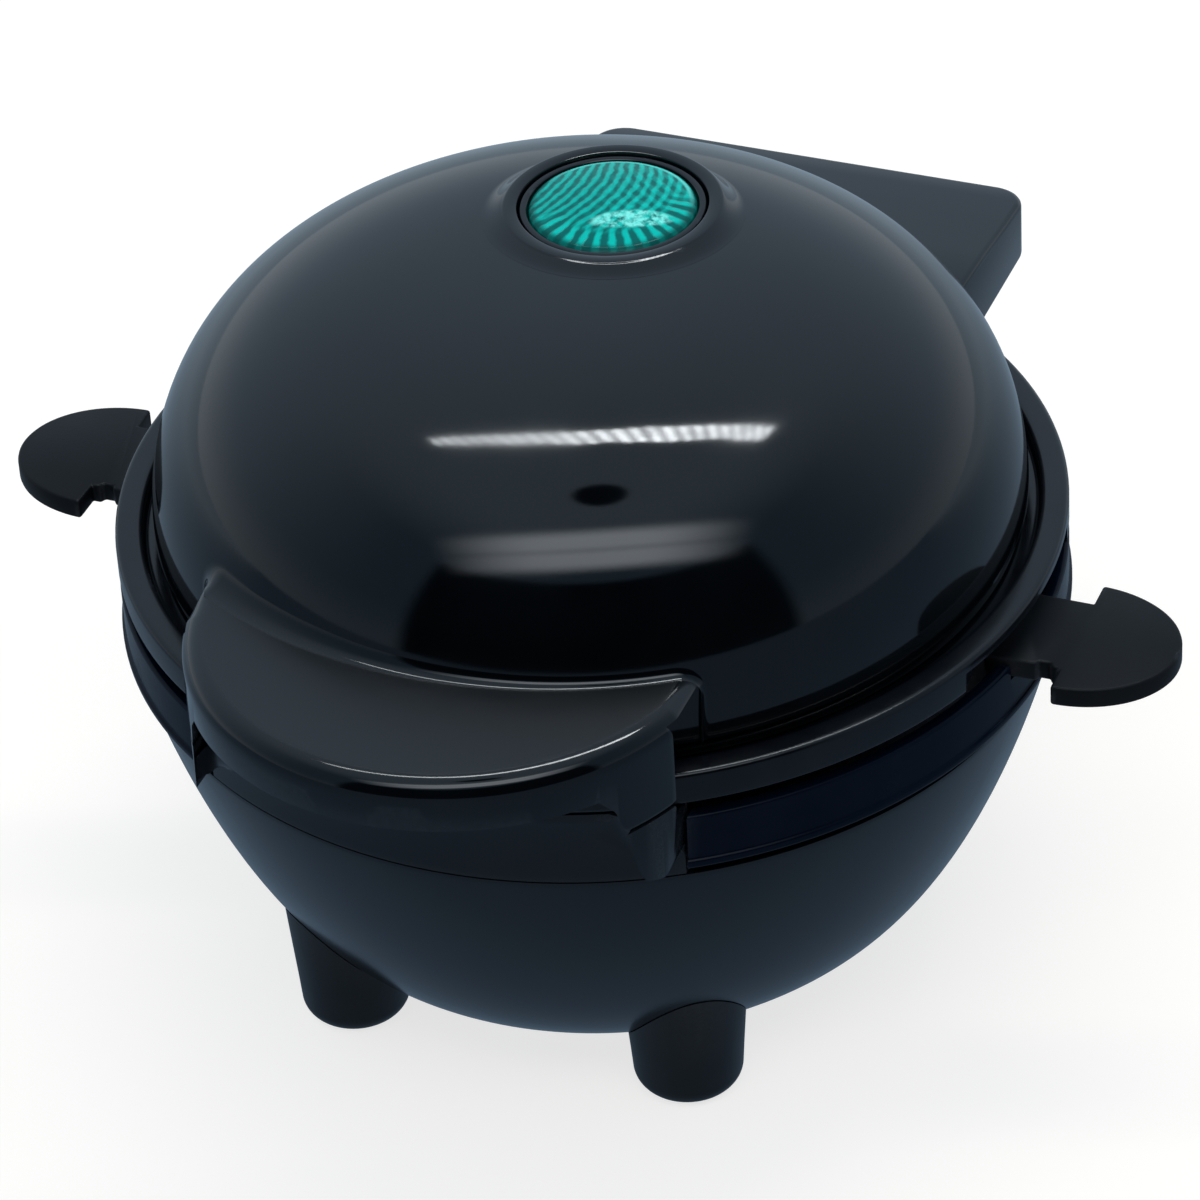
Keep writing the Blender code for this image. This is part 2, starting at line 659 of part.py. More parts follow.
# ---------------------------------------------------------------- base
def base_ring():
    """Upper rim of the base: outer wall with a small lip, and a web that holds the pan."""
    lip = RING_RADIUS + BASE_LIP
    profile = [
        (RING_WALL_INNER, BASE_RING_TOP_Z), (RING_RADIUS - 0.0006, BASE_RING_TOP_Z),
        (RING_RADIUS, BASE_RING_TOP_Z - 0.0006), (RING_RADIUS, -0.0138), (lip, -0.0142),
        (lip, -0.0148), (RING_RADIUS - 0.0004, BASE_RING_BOTTOM_Z),
        (BASE_WEB_INNER, BASE_RING_BOTTOM_Z), (BASE_WEB_INNER, BASE_WEB_TOP_Z),
        (RING_WALL_INNER, BASE_WEB_TOP_Z)]
    ring = as_part(turned("base_ring", profile, closed=True), SATIN, BASE)
    for side in (-1, 1):
        x = sorted((side * 0.0560, side * 0.0700))
        notch = box(f"cut_base_ring_notch_{side + 2}",
                    (x[0], TAB_Y - TAB_NECK_HALF - GAP, TAB_TOP_Z - TAB_THICKNESS - GAP),
                    (x[1], TAB_Y + TAB_NECK_HALF + GAP, 0.0))
        cut(ring, as_cutter(notch, BASE))
    bracket_half = BRACKET_HALF_WIDTH + GAP
    bracket_room = box("cut_base_ring_bracket",
                       (-bracket_half, 0.0500, BASE_RING_BOTTOM_Z - 0.001),
                       (bracket_half, 0.0700, BRACKET_TOP_Z + GAP))
    keep_web = as_cutter(cylinder("keep_web", RING_WALL_INNER - 0.0002, -0.03, 0.0,
                                  steps=TURN_STEPS), BASE)
    grip_half = GRIP_HALF_WIDTH + 0.0008
    grip_room = box("cut_base_ring_grip", (-grip_half, -0.0700, BASE_RING_BOTTOM_Z - 0.001),
                    (grip_half, -0.0400, 0.0010))
    for room in (bracket_room, grip_room):
        cut(room, keep_web)
        cut(ring, as_cutter(room, BASE))


def bowl_room(name, extra):
    """The bowl's outer form grown by a little, for cutting what sits against it."""
    outer = offset_profile(bowl_profile(), -extra)
    top = [(0.0, 0.0100), (outer[0][0], 0.0100)]
    floor = [(0.0, outer[-1][1])]
    return as_cutter(turned(name, top + outer + floor, closed=False), BASE)


def base_shell():
    """Round bowl under the base ring, open at the bottom under its cover."""
    outer = bowl_profile()
    inner = offset_profile(bowl_profile(7), WALL)
    neck_inner = NECK_RADIUS - WALL
    opening = BOWL_OPENING_RADIUS
    profile = [(NECK_RADIUS, NECK_TOP_Z), (NECK_RADIUS, BOWL_TOP_Z)] + outer
    profile += [(opening, BOWL_FLOOR_Z), (opening, BOWL_FLOOR_Z + WALL)]
    profile += [p for p in inner[::-1] if p[0] > opening and p[1] < BOWL_TOP_Z - 0.0040]
    profile += [(neck_inner, BOWL_TOP_Z - 0.0030), (neck_inner, NECK_TOP_Z)]
    bowl = as_part(turned("base_shell", profile, closed=True), GLOSS, BASE)
    cut(bowl, inlet_bore("cut_bowl_inlet"))


def inlet_frame():
    """Where the inlet sits on the back of the bowl, and its axis pointing out of the wall."""
    outer = bowl_profile(41)
    k = min(range(1, 40), key=lambda i: abs(outer[i][1] - INLET_Z))
    along = Vector((outer[k + 1][0] - outer[k - 1][0], outer[k + 1][1] - outer[k - 1][1]))
    tilt = math.atan2(-along.x, -along.y)
    normal = Vector((0.0, math.cos(tilt), -math.sin(tilt)))
    return Vector((0.0, outer[k][0], outer[k][1])), normal, tilt


def inlet_bore(name):
    point, _, tilt = inlet_frame()
    bore = cylinder(name, INLET_BORE_RADIUS, -0.0120, 0.0120)
    bore.rotation_euler = (-math.pi / 2 - tilt, 0.0, 0.0)
    bore.location = point
    return as_cutter(bore, BASE)


def cord_inlet():
    """Rubber bushing in the bowl's wall, where a mains lead would enter."""
    point, normal, tilt = inlet_frame()
    inlet = turned("cord_inlet", [
        (0.0026, 0.0120), (0.0056, 0.0120), (0.0062, 0.0114), (0.0062, 0.0098),
        (INLET_BORE_RADIUS - GAP, 0.0094), (INLET_BORE_RADIUS - GAP, 0.0020),
        (0.0026, 0.0020)],
        closed=True, steps=SMALL_STEPS)
    inlet.rotation_euler = (-math.pi / 2 - tilt, 0.0, 0.0)
    inlet.location = point - normal * 0.0088
    as_part(inlet, RUBBER, BASE)


def lower_grip():
    """Wall in front of the base, between two posts that meet the tongues of the handle."""
    wall_bottom = BOWL_TOP_Z + GAP
    web_bottom = BASE_RING_BOTTOM_Z - GAP
    section = [(0.0650, GRIP_TOP_Z), (0.0643, -0.0090), (0.06395, -0.0110),
               (0.06375, -0.0140), (BOWL_TOP_RADIUS, wall_bottom),
               (NECK_RADIUS + GAP, wall_bottom), (NECK_RADIUS + GAP, web_bottom),
               (GRIP_INNER_RADIUS, web_bottom), (GRIP_INNER_RADIUS, GRIP_TOP_Z)]
    grip = as_part(turned("lower_grip", section, closed=True), GLOSS, BASE)
    front = box("keep_grip_front", (-GRIP_HALF_WIDTH, -0.0700, -0.0300),
                (GRIP_HALF_WIDTH, -0.0400, 0.0100))
    cut(grip, as_cutter(front, BASE), "INTERSECT")
    plan = as_cutter(plan_outline("keep_grip_plan", handle_outline(0.0), -0.04, 0.02), BASE)
    lid_room = as_cutter(cylinder("cut_grip_lid_room", SKIRT_CLEAR_RADIUS, GRIP_TOP_Z,
                                  0.0100, steps=TURN_STEPS), BASE)
    web_room = as_cutter(cylinder("cut_grip_web_room", GRIP_INNER_RADIUS + GAP, -0.0400,
                                  0.0100, steps=TURN_STEPS), BASE)
    for side in (-1, 1):
        post = front_outline(f"add_grip_post_{side + 2}", [(side * x, z) for x, z in GRIP_POST],
                             -0.0900, -0.0500)
        as_cutter(post, BASE)
        cut(post, plan, "INTERSECT")
        cut(post, lid_room)
        cut(post, web_room)
        cut(grip, post, "UNION")


def hinge_bracket():
    """Bracket on the back of the base, with two lugs that hold the hinge pin."""
    bracket = box("hinge_bracket", (-BRACKET_HALF_WIDTH, 0.0500, BRACKET_BOTTOM_Z),
                  (BRACKET_HALF_WIDTH, BRACKET_BACK_Y, BRACKET_TOP_Z))
    as_part(bracket, SATIN, BASE)
    bevel(bracket, 0.0010, 2)
    cut(bracket, bowl_room("cut_bracket_bowl_room", GAP))
    ring_room = cylinder("cut_bracket_ring_room", RING_RADIUS + 0.0007, -0.0160, 0.01,
                         steps=TURN_STEPS)
    cut(bracket, as_cutter(ring_room, BASE))
    for side in (-1, 1):
        x = sorted((side * LUG_X[0], side * LUG_X[1]))
        end = arc((HINGE_Y, HINGE_Z), KNUCKLE_RADIUS, 105, -90, 9)
        foot = [(0.0780, -0.0097), (BRACKET_BACK_Y - 0.0004, -0.0097),
                (BRACKET_BACK_Y - 0.0004, -0.0150), (0.0685, -0.0150), (0.0685, -0.0090)]
        lug = side_outline(f"add_lug_{side + 2}", end + foot, *x)
        cut(bracket, as_cutter(lug, BASE), "UNION")
    bore = as_cutter(pin_bore("cut_lug_bore"), BASE)
    cut(bracket, bore)


def hinge_pin():
    pin = cylinder("hinge_pin", PIN_RADIUS, -PIN_HALF_LENGTH, PIN_HALF_LENGTH,
                   steps=PIN_STEPS)
    pin.rotation_euler.y = math.pi / 2
    pin.location = HINGE_POINT
    as_part(pin, STEEL, BASE)


def side_tab(name, side):
    """Flat tab with a round head, held in a notch of the base ring by its neck."""
    centre = (TAB_HEAD_START, 0.0)
    reach = TAB_REACH - TAB_HEAD_START
    outline = [(0.0600, -TAB_NECK_HALF), (TAB_HEAD_START, -TAB_NECK_HALF)]
    for i in range(15):
        angle = math.radians(-90 + 180 * i / 14)
        outline.append((centre[0] + reach * math.cos(angle), TAB_HEAD_HALF * math.sin(angle)))
    outline += [(TAB_HEAD_START, TAB_NECK_HALF), (0.0600, TAB_NECK_HALF)]
    points = [(side * x, y + TAB_Y) for x, y in outline]
    tab = plan_outline(name, points, TAB_TOP_Z - TAB_THICKNESS, TAB_TOP_Z)
    as_part(tab, TAB_PLASTIC, BASE)
    bevel(tab, 0.0005, 1, 50)


def leg(name, x, y):
    """Round leg, thicker at the top, whose top follows the bowl."""
    foot = -STAND_HEIGHT
    round_off = arc((LEG_FOOT_RADIUS - LEG_ROUND, foot + LEG_ROUND), LEG_ROUND, 0, -90, 4)
    profile = [(0.0, LEG_TOP_Z), (LEG_TOP_RADIUS, LEG_TOP_Z), *round_off, (0.0, foot)]
    body = as_part(turned(name, profile, closed=False, steps=SMALL_STEPS, x=x, y=y),
                   LEG_PLASTIC, BASE)
    cut(body, bowl_room(f"cut_{name}_bowl_room", GAP))


def bottom_cover():
    """Disc over the bowl's opening, notched round the legs."""
    top, bottom = BOWL_FLOOR_Z - GAP, BOWL_FLOOR_Z - 0.0020
    cover = turned("bottom_cover", [
        (0.0, top), (0.0385, top), (0.0390, top - 0.0005), (0.0390, bottom + 0.0006),
        (0.0384, bottom), (0.0, bottom)], closed=False, steps=32)
    as_part(cover, DARK, BASE)
    for number, (x, y) in enumerate(leg_places()):
        notch = cylinder(f"cut_cover_leg_{number + 1}", LEG_TOP_RADIUS + GAP, -0.07, -0.05,
                         x=x, y=y)
        cut(cover, as_cutter(notch, BASE))
    for number, (x, y) in enumerate(cover_screw_places()):
        hole = cylinder(f"cut_cover_screw_{number + 1}", SCREW_HOLE_RADIUS, -0.07, -0.05,
                        x=x, y=y, steps=SCREW_STEPS)
        cut(cover, as_cutter(hole, BASE))


def leg_places():
    return [(-LEG_X, -LEG_Y), (LEG_X, -LEG_Y), (-LEG_X, LEG_Y), (LEG_X, LEG_Y)]


def cover_screw_places():
    return [(COVER_SCREW_OFFSET * x, COVER_SCREW_OFFSET * y)
            for x, y in ((1, 0), (0, 1), (-1, 0), (0, -1))]


def base_inside(pan_floor):
    """What the bowl holds: thermostat, fuse, terminal block and wiring."""
    thermostat = turned("thermostat", [
        (0.0, pan_floor - GAP), (0.0070, pan_floor - GAP), (0.0070, pan_floor - 0.0045),
        (0.0045, pan_floor - 0.0055), (0.0045, pan_floor - 0.0095),
        (0.0, pan_floor - 0.0095)], closed=False, steps=SMALL_STEPS)
    as_part(thermostat, CERAMIC, BASE)
    fuse = tube("thermal_fuse", [(0.0130, -0.0060, pan_floor - 0.0030),
                                 (0.0130, 0.0060, pan_floor - 0.0030)], 0.0019)
    as_part(fuse, STEEL, BASE)
    block = box("terminal_block", (-0.0110, 0.0150, BOWL_FLOOR_Z + 0.0004),
                (0.0110, 0.0240, BOWL_FLOOR_Z + 0.0090))
    as_part(block, CERAMIC, BASE)
    bevel(block, 0.0006, 1)
    cord_inlet()
    wires(pan_floor)


def wires(pan_floor):
    """Short leads in the bowl, each in its own sleeve."""
    z_block = BOWL_FLOOR_Z + 0.0110
    x, y = element_end(1)
    routes = {
        "live_wire": ([(-0.0075, 0.0195, z_block), (-0.0090, 0.0200, z_block + 0.0080),
                       (-0.0110, 0.0080, -0.0420), (-0.0085, -0.0060, -0.0400),
                       (-0.0060, -0.0105, pan_floor - 0.0060)], WIRE_DARK),
        "neutral_wire": ([(0.0000, 0.0195, z_block), (0.0030, 0.0230, z_block + 0.0080),
                          (x, y, -0.0400), (x, y, pan_floor - 0.0010)], WIRE_BLUE),
        "earth_wire": ([(0.0075, 0.0195, z_block), (0.0130, 0.0230, z_block + 0.0060),
                        (0.0260, 0.0150, -0.0420), (0.0300, 0.0050, -0.0350),
                        (0.0300, 0.0000, pan_floor - 0.0010)], WIRE_GREEN)}
    for name, (route, mat) in routes.items():
        as_part(tube(name, smooth_route(route, 10), 0.0012), mat, BASE)


def smooth_route(points, count):
    """Points read from one smooth curve through a wire's own points."""
    points = [Vector(p) for p in points]
    ends = [2 * points[0] - points[1]] + points + [2 * points[-1] - points[-2]]
    spans = len(points) - 1
    route = []
    for i in range(count):
        u = spans * i / (count - 1)
        k = min(int(u), spans - 1)
        t = u - k
        a, b, c, d = ends[k:k + 4]
        route.append(0.5 * (2 * b + (c - a) * t + (2 * a - 5 * b + 4 * c - d) * t * t
                            + (3 * b - a - 3 * c + d) * t ** 3))
    return route


def build_base():
    base_ring()
    base_shell()
    lower_grip()
    hinge_bracket()
    hinge_pin()
    side_tab("side_tab_left", -1)
    side_tab("side_tab_right", 1)
    for name, (x, y) in zip(("leg_front_left", "leg_front_right", "leg_rear_left",
                             "leg_rear_right"), leg_places()):
        leg(name, x, y)
    bottom_cover()
    for number, (x, y) in enumerate(cover_screw_places()):
        screw(f"bottom_cover_screw_{number + 1}", BASE, x, y, BOWL_FLOOR_Z - 0.0023, -1,
              0.0020)
    cooking_plate("lower_plate", BASE, LOWER_FACE_Z, -1)
    pan_floor = LOWER_FACE_Z - PAN_DEPTH
    heating_element("lower_heating_element", BASE, LOWER_FACE_Z - ELEMENT_DEPTH, -1)
    heat_pan("lower_heat_pan", BASE, flange=0.0600, flange_z=-0.0128,
             wall_radius=0.0530, floor_z=pan_floor, away=-1)
    plate_screws("lower", BASE, pan_floor, -1)
    base_inside(pan_floor)


clear_scene()
PARTS = new_collection("donut_maker")
CUTTERS = new_collection("cutters")
GLOSS = material("gloss_black", (0.012, 0.016, 0.021), 0.12)
SATIN = material("satin_black", (0.010, 0.013, 0.018), 0.28)
DARK = material("matte_black", (0.010, 0.011, 0.013), 0.5)
TAB_PLASTIC = material("tab_black", (0.009, 0.010, 0.013), 0.45)
LEG_PLASTIC = material("leg_black", (0.009, 0.010, 0.013), 0.4)
LENS_GREEN = material("lens_green", (0.0, 0.42, 0.30), 0.08, transmission=0.4)
NEON_GLASS = material("neon_glass", (0.8, 0.9, 0.85), 0.05, transmission=0.8)
NONSTICK = material("nonstick_coating", (0.030, 0.030, 0.032), 0.45)
SHEATH = material("heater_sheath", (0.25, 0.23, 0.21), 0.4, metallic=1.0)
ALUMINIUM = material("aluminium_sheet", (0.60, 0.60, 0.61), 0.35, metallic=1.0)
STEEL = material("steel", (0.55, 0.55, 0.56), 0.3, metallic=1.0)
CERAMIC = material("white_ceramic", (0.75, 0.73, 0.68), 0.5)
RUBBER = material("black_rubber", (0.012, 0.012, 0.013), 0.6)
WIRE_DARK = material("live_sleeve", (0.20, 0.07, 0.03), 0.5)
WIRE_BLUE = material("neutral_sleeve", (0.02, 0.08, 0.35), 0.5)
WIRE_GREEN = material("earth_sleeve", (0.35, 0.45, 0.03), 0.5)
BASE = empty("appliance_frame", FRAME_ORIGIN)
LID_HINGE = empty("lid_hinge_axis", HINGE_POINT, BASE)
build_lid()
build_base()
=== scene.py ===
"""Looks of the mini donut maker: finely drawn skins, procedural finishes and a studio.

Lengths are metres.  Pieces are drawn about the centre of the lid ring's flat top, with +Z up
and the handle towards -Y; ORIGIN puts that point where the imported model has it.
"""

import math

import bmesh
import bpy
from mathutils import Matrix, Vector


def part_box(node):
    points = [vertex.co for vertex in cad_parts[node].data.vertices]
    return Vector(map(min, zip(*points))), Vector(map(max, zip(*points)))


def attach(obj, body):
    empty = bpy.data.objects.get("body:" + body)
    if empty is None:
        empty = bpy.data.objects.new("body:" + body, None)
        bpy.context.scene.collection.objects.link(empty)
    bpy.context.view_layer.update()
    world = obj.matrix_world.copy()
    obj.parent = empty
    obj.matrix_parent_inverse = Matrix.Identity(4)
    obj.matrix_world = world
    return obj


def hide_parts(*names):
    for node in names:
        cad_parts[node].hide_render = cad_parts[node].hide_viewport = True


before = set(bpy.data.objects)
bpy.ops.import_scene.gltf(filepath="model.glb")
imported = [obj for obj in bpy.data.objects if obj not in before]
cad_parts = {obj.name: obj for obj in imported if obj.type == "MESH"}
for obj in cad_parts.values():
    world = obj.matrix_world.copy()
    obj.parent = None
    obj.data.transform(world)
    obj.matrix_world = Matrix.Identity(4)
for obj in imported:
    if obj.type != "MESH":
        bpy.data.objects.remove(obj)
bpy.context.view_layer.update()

# ---------------------------------------------------------------- places read from the frame
BOWL_LOW, BOWL_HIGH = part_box("base_shell")
ORIGIN = Vector(((BOWL_LOW.x + BOWL_HIGH.x) / 2, (BOWL_LOW.y + BOWL_HIGH.y) / 2,
                 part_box("lid_ring")[1].z))


def low(node):
    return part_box(node)[0] - ORIGIN


def high(node):
    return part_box(node)[1] - ORIGIN


RING_RADIUS = high("lid_ring").x
RING_WALL_RADIUS = RING_RADIUS - 0.0020
FLOOR_Z = -ORIGIN.z

# lid dome
DOME_RADIUS = 0.0596
DOME_FOOT_Z = 0.0008
DOME_HEIGHT = 0.0367
DOME_POWER_R = 3.0
DOME_POWER_Z = 2.14

# lamp on the dome
LAMP_Y = (low("lamp_lens").y + high("lamp_lens").y) / 2
LENS_RADIUS = high("lamp_lens").x
LENS_CROWN_Z = high("lamp_lens").z
BEZEL_RADIUS = high("lamp_bezel").x
COLLAR_TOP_Z = high("lamp_bezel").z + 0.0004
COLLAR_FLAT_RADIUS = 0.0148
COLLAR_RADIUS = 0.0178
LAMP_STEPS = 144              # steps round the lamp's pieces

# handle and grip
HANDLE_FRONT_Y = low("lid_shell").y
HANDLE_RADIUS = 0.0363
HANDLE_HALF_WIDTH = 0.03465
HANDLE_CORNER = 0.0040
HANDLE_Y = HANDLE_FRONT_Y + HANDLE_RADIUS
HANDLE_TOP_Z = 0.0107
HANDLE_ROOM_Z = 0.0094
HANDLE_LIP = 0.0030
HANDLE_LIP_LEFT = 0.0011      # the lip's radius where its left end runs into the dome
HANDLE_WALL = 0.0022
HANDLE_FILLET_LEFT = 0.0042   # radius of the fillet between handle and dome, at its ends
HANDLE_FILLET_RIGHT = 0.0016
SKIRT_FRONT_Z = 0.0036
SKIRT_BOTTOM_Z = high("lower_grip").z + 0.0004
SKIRT_CLEAR_RADIUS = 0.0668   # the skirt stays outside this, clear of the rings
# (x, z) points: the inner edge of the skirt's right tongue, and the grip's right post
TONGUE_INNER = [(0.0280, SKIRT_FRONT_Z), (0.0294, 0.0012), (0.0302, SKIRT_BOTTOM_Z)]
GRIP_HALF_WIDTH = 0.0336
GRIP_INNER_RADIUS = 0.0631
GRIP_TOP_Z = -0.0054
GRIP_WALL_RADIUS = 0.0649
GRIP_POST = [(0.0302, -0.0033), (0.0312, -0.0106), (0.0317, -0.0124), (0.0331, -0.0134),
             (0.0337, -0.0118), (0.0341, -0.0033)]

# bowl
BOWL_TOP_RADIUS = 0.0637
BOWL_TOP_Z = -0.0172
BOWL_FLOOR_RADIUS = 0.0378
BOWL_FLOOR_Z = low("base_shell").z
BOWL_POWER_R = 1.94
BOWL_POWER_Z = 1.13

# hinge
HINGE_Y = (low("hinge_pin").y + high("hinge_pin").y) / 2
HINGE_Z = (low("hinge_pin").z + high("hinge_pin").z) / 2
HINGE_BACK_Y = high("hinge_cover").y
HINGE_HALF_WIDTH = high("hinge_cover").x
KNUCKLE_RADIUS = 0.0033
KNUCKLE_START, KNUCKLE_END = 0.0110, 0.0170   # across the object, from its middle
LUG_START, LUG_END = 0.0190, 0.0270
PIN_RADIUS = 0.0015
PIN_BORE_RADIUS = 0.0018

# side tabs
TAB_REACH = high("side_tab_right").x
TAB_TOP_Z = high("side_tab_right").z
TAB_BOTTOM_Z = low("side_tab_right").z
TAB_Y = (low("side_tab_right").y + high("side_tab_right").y) / 2
TAB_HALF = high("side_tab_right").y - TAB_Y
TAB_NECK = 0.0076             # half of the neck's width

# legs
LEG_TOP_RADIUS = 0.0092

# cooking plates
PLATE_RADIUS = high("lower_plate").x
DONUT_OFFSET = 0.0280
DONUT_MEAN_RADIUS = 0.0125
DONUT_TUBE_RADIUS = 0.0065

FINE = 192                    # steps round the large turned pieces
MEDIUM = 72                   # steps round the small turned pieces
SMALL = 48                    # steps round the pin and the screws
TINY = 0.0000001              # points closer than this are one point
FAR_BELOW, FAR_ABOVE = -0.0300, 0.0300   # heights beyond the rings, handle and grip
FAR_OUT, WELL_INSIDE = 0.0900, 0.0400   # distances from the middle, for their cutters
SHARP_DEG = 32                # edges sharper than this are not shaded smooth


# ---------------------------------------------------------------- shape helpers
def new_object(name, data, place):
    obj = bpy.data.objects.new(name, data)
    bpy.context.scene.collection.objects.link(obj)
    obj.location = place
    return obj


def mesh_piece(name, build, offset=(0.0, 0.0, 0.0)):
    """A new object at ORIGIN plus offset, whose mesh is drawn by build(bm)."""
    bm = bmesh.new()
    build(bm)
    bmesh.ops.remove_doubles(bm, verts=bm.verts, dist=TINY)
    bmesh.ops.recalc_face_normals(bm, faces=bm.faces)
    mesh = bpy.data.meshes.new(name)
    bm.to_mesh(mesh)
    bm.free()
    return new_object(name, mesh, ORIGIN + Vector(offset))


def loft(bm, rows, loop=True):
    """Quads between neighbouring rows of points; a row of one point is a pole."""
    made = [[bm.verts.new(point) for point in row] for row in rows]
    for lower, upper in zip(made, made[1:]):
        count = max(len(lower), len(upper))
        for i in range(count if loop else count - 1):
            j = (i + 1) % count
            corners = [lower[i % len(lower)], lower[j % len(lower)],
                       upper[j % len(upper)], upper[i % len(upper)]]
            bm.faces.new(list(dict.fromkeys(corners)))
    return made


def capped(name, rows):
    """A solid lofted through closed rows of points, with a face over each end."""
    def build(bm):
        made = loft(bm, rows)
        bm.faces.new(made[0])
        bm.faces.new(made[-1])
    return mesh_piece(name, build)


def turned(name, profile, closed=False, steps=FINE, offset=(0.0, 0.0, 0.0), x=0.0, y=0.0):
    """Turns (radius, z) points about a vertical axis; a closed profile is a ring's section."""
    path = list(profile) + ([profile[0]] if closed else [])
    angles = [2 * math.pi * i / steps for i in range(steps)]
    rows = [[Vector((x + r * math.cos(a), y + r * math.sin(a), z))
             for a in (angles if r >= TINY else angles[:1])] for r, z in path]
    return mesh_piece(name, lambda bm: loft(bm, rows), offset)


def prism(name, points, start, end, along="z"):
    """A slab between two flat copies of an outline, drawn across the axis it runs along."""
    at = "xyz".index(along)
    return capped(name, [[Vector((*point[:at], level, *point[at:])) for point in points]
                         for level in sorted((start, end))])


def block(name, corner, far_corner):
    """A box between two opposite corners."""
    (x, far_x), (y, far_y), (z, far_z) = (sorted(pair) for pair in zip(corner, far_corner))
    return prism(name, [(x, y), (far_x, y), (far_x, far_y), (x, far_y)], z, far_z)


def settle(obj):
    """Makes what the object's modifiers give its own mesh."""
    evaluated = obj.evaluated_get(bpy.context.evaluated_depsgraph_get())
    mesh = bpy.data.meshes.new_from_object(evaluated)
    obj.modifiers.clear()
    obj.data = mesh
    return obj


def moved(obj, place, angle, axis):
    """Turns a drawn piece about its own origin, then moves it."""
    obj.data.transform(Matrix.Translation(place) @ Matrix.Rotation(angle, 4, axis))
    return obj


def carve(obj, *cutters, operation="DIFFERENCE"):
    """Cuts the cutters from the object, or unites or intersects them, and removes them."""
    for cutter in cutters:
        modifier = obj.modifiers.new("carve", "BOOLEAN")
        modifier.operation = operation
        modifier.solver = "EXACT"
        modifier.object = cutter
    settle(obj)
    for cutter in cutters:
        bpy.data.objects.remove(cutter)
    return obj


def soften(obj, width, segments=3, angle_deg=35):
    """Rounds the object's sharp edges."""
    modifier = obj.modifiers.new("soften", "BEVEL")
    modifier.width = width
    modifier.segments = segments
    modifier.limit_method = "ANGLE"
    modifier.angle_limit = math.radians(angle_deg)
    return settle(obj)


def join(name, *objs):
    """One object out of several that share a location."""
    bm = bmesh.new()
    location = objs[0].location.copy()
    for obj in objs:
        bm.from_mesh(obj.data)
        bpy.data.objects.remove(obj)
    mesh = bpy.data.meshes.new(name)
    bm.to_mesh(mesh)
    bm.free()
    return new_object(name, mesh, location)


def finished(obj, body, nodes, finish_name, slot=None):
    """Shades a new piece, hangs it on its body and hides the CAD nodes that it stands in for."""
    slot = slot or finish_name
    obj.data.materials.clear()
    obj.data.materials.append(FINISHES[finish_name])
    obj.data.shade_smooth()
    obj.data.set_sharp_from_angle(angle=math.radians(SHARP_DEG))
    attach(obj, body)
    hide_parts(*nodes)


def arc(centre, radius, start_deg, end_deg, count):
    """Evenly spaced points on an arc."""
    angles = [math.radians(start_deg + (end_deg - start_deg) * i / (count - 1))
              for i in range(count)]
    return [(centre[0] + radius * math.cos(a), centre[1] + radius * math.sin(a))
            for a in angles]


def rounded(points, radius, count=5):
    """Rounds each corner of a (radius, z) path, leaving its two ends as they are."""
    path = [points[0]]
    for before, corner, after in zip(points, points[1:], points[2:]):
        here = Vector(corner)
        to_before = Vector(before) - here
        to_after = Vector(after) - here
        reach = min(radius, 0.45 * to_before.length, 0.45 * to_after.length)
        start = here + to_before.normalized() * reach
        end = here + to_after.normalized() * reach
        for i in range(count):
            t = i / (count - 1)
            point = start * (1 - t) ** 2 + here * 2 * t * (1 - t) + end * t ** 2
            path.append((point.x, point.y))
    return path + [points[-1]]


def rounded_ring(points, radius, count=5):
    """Rounds every corner of a closed (radius, z) section."""
    return rounded([points[-1]] + list(points) + [points[0]], radius, count)[1:-1]


def superellipse(count, foot, end, power_r, power_z):
    """(radius, z) points from the foot to the end of a superelliptic quarter."""
    points = []
    for i in range(count):
        t = (math.pi / 2) * i / (count - 1)
        points.append((end[0] + (foot[0] - end[0]) * max(math.cos(t), 0.0) ** (2 / power_r),
                       foot[1] + (end[1] - foot[1]) * math.sin(t) ** (2 / power_z)))
    return points


def dome_profile(count):
    return superellipse(count, (DOME_RADIUS, DOME_FOOT_Z), (0.0, DOME_FOOT_Z + DOME_HEIGHT),
                        DOME_POWER_R, DOME_POWER_Z)


def dome_height(r):
    rest = max(1.0 - (r / DOME_RADIUS) ** DOME_POWER_R, 0.0)
    return DOME_FOOT_Z + DOME_HEIGHT * rest ** (1 / DOME_POWER_Z)


def dome_radius(z):
    rest = 1.0 - (max(z - DOME_FOOT_Z, 0.0) / DOME_HEIGHT) ** DOME_POWER_Z
    return DOME_RADIUS * rest ** (1 / DOME_POWER_R)


def dome_normal(z):
    """Outward (radius, z) normal of the dome at a height."""
    step = 0.00002
    run = dome_radius(z + step) - dome_radius(z - step)
    return Vector((2 * step, -run)).normalized()


def beside_dome(z, distance):
    """Radius at which a point at height z is that far from the dome, and the nearest height."""
    nearest = z
    for _ in range(12):
        nearest = z - dome_normal(nearest).y * distance
    return dome_radius(nearest) + dome_normal(nearest).x * distance, nearest


def bowl_profile(count):
    return superellipse(count, (BOWL_TOP_RADIUS, BOWL_TOP_Z),
                        (BOWL_FLOOR_RADIUS, BOWL_FLOOR_Z), BOWL_POWER_R, BOWL_POWER_Z)


def bowl_room(extra):
    """The bowl's outer form, grown by a little, as a cutter."""
    profile = [(0.0, 0.0100), (BOWL_TOP_RADIUS + extra, 0.0100)]
    profile += [(r + extra, z - extra * 0.5) for r, z in bowl_profile(40)]
    return turned("bowl_room", profile + [(0.0, BOWL_FLOOR_Z - extra)])


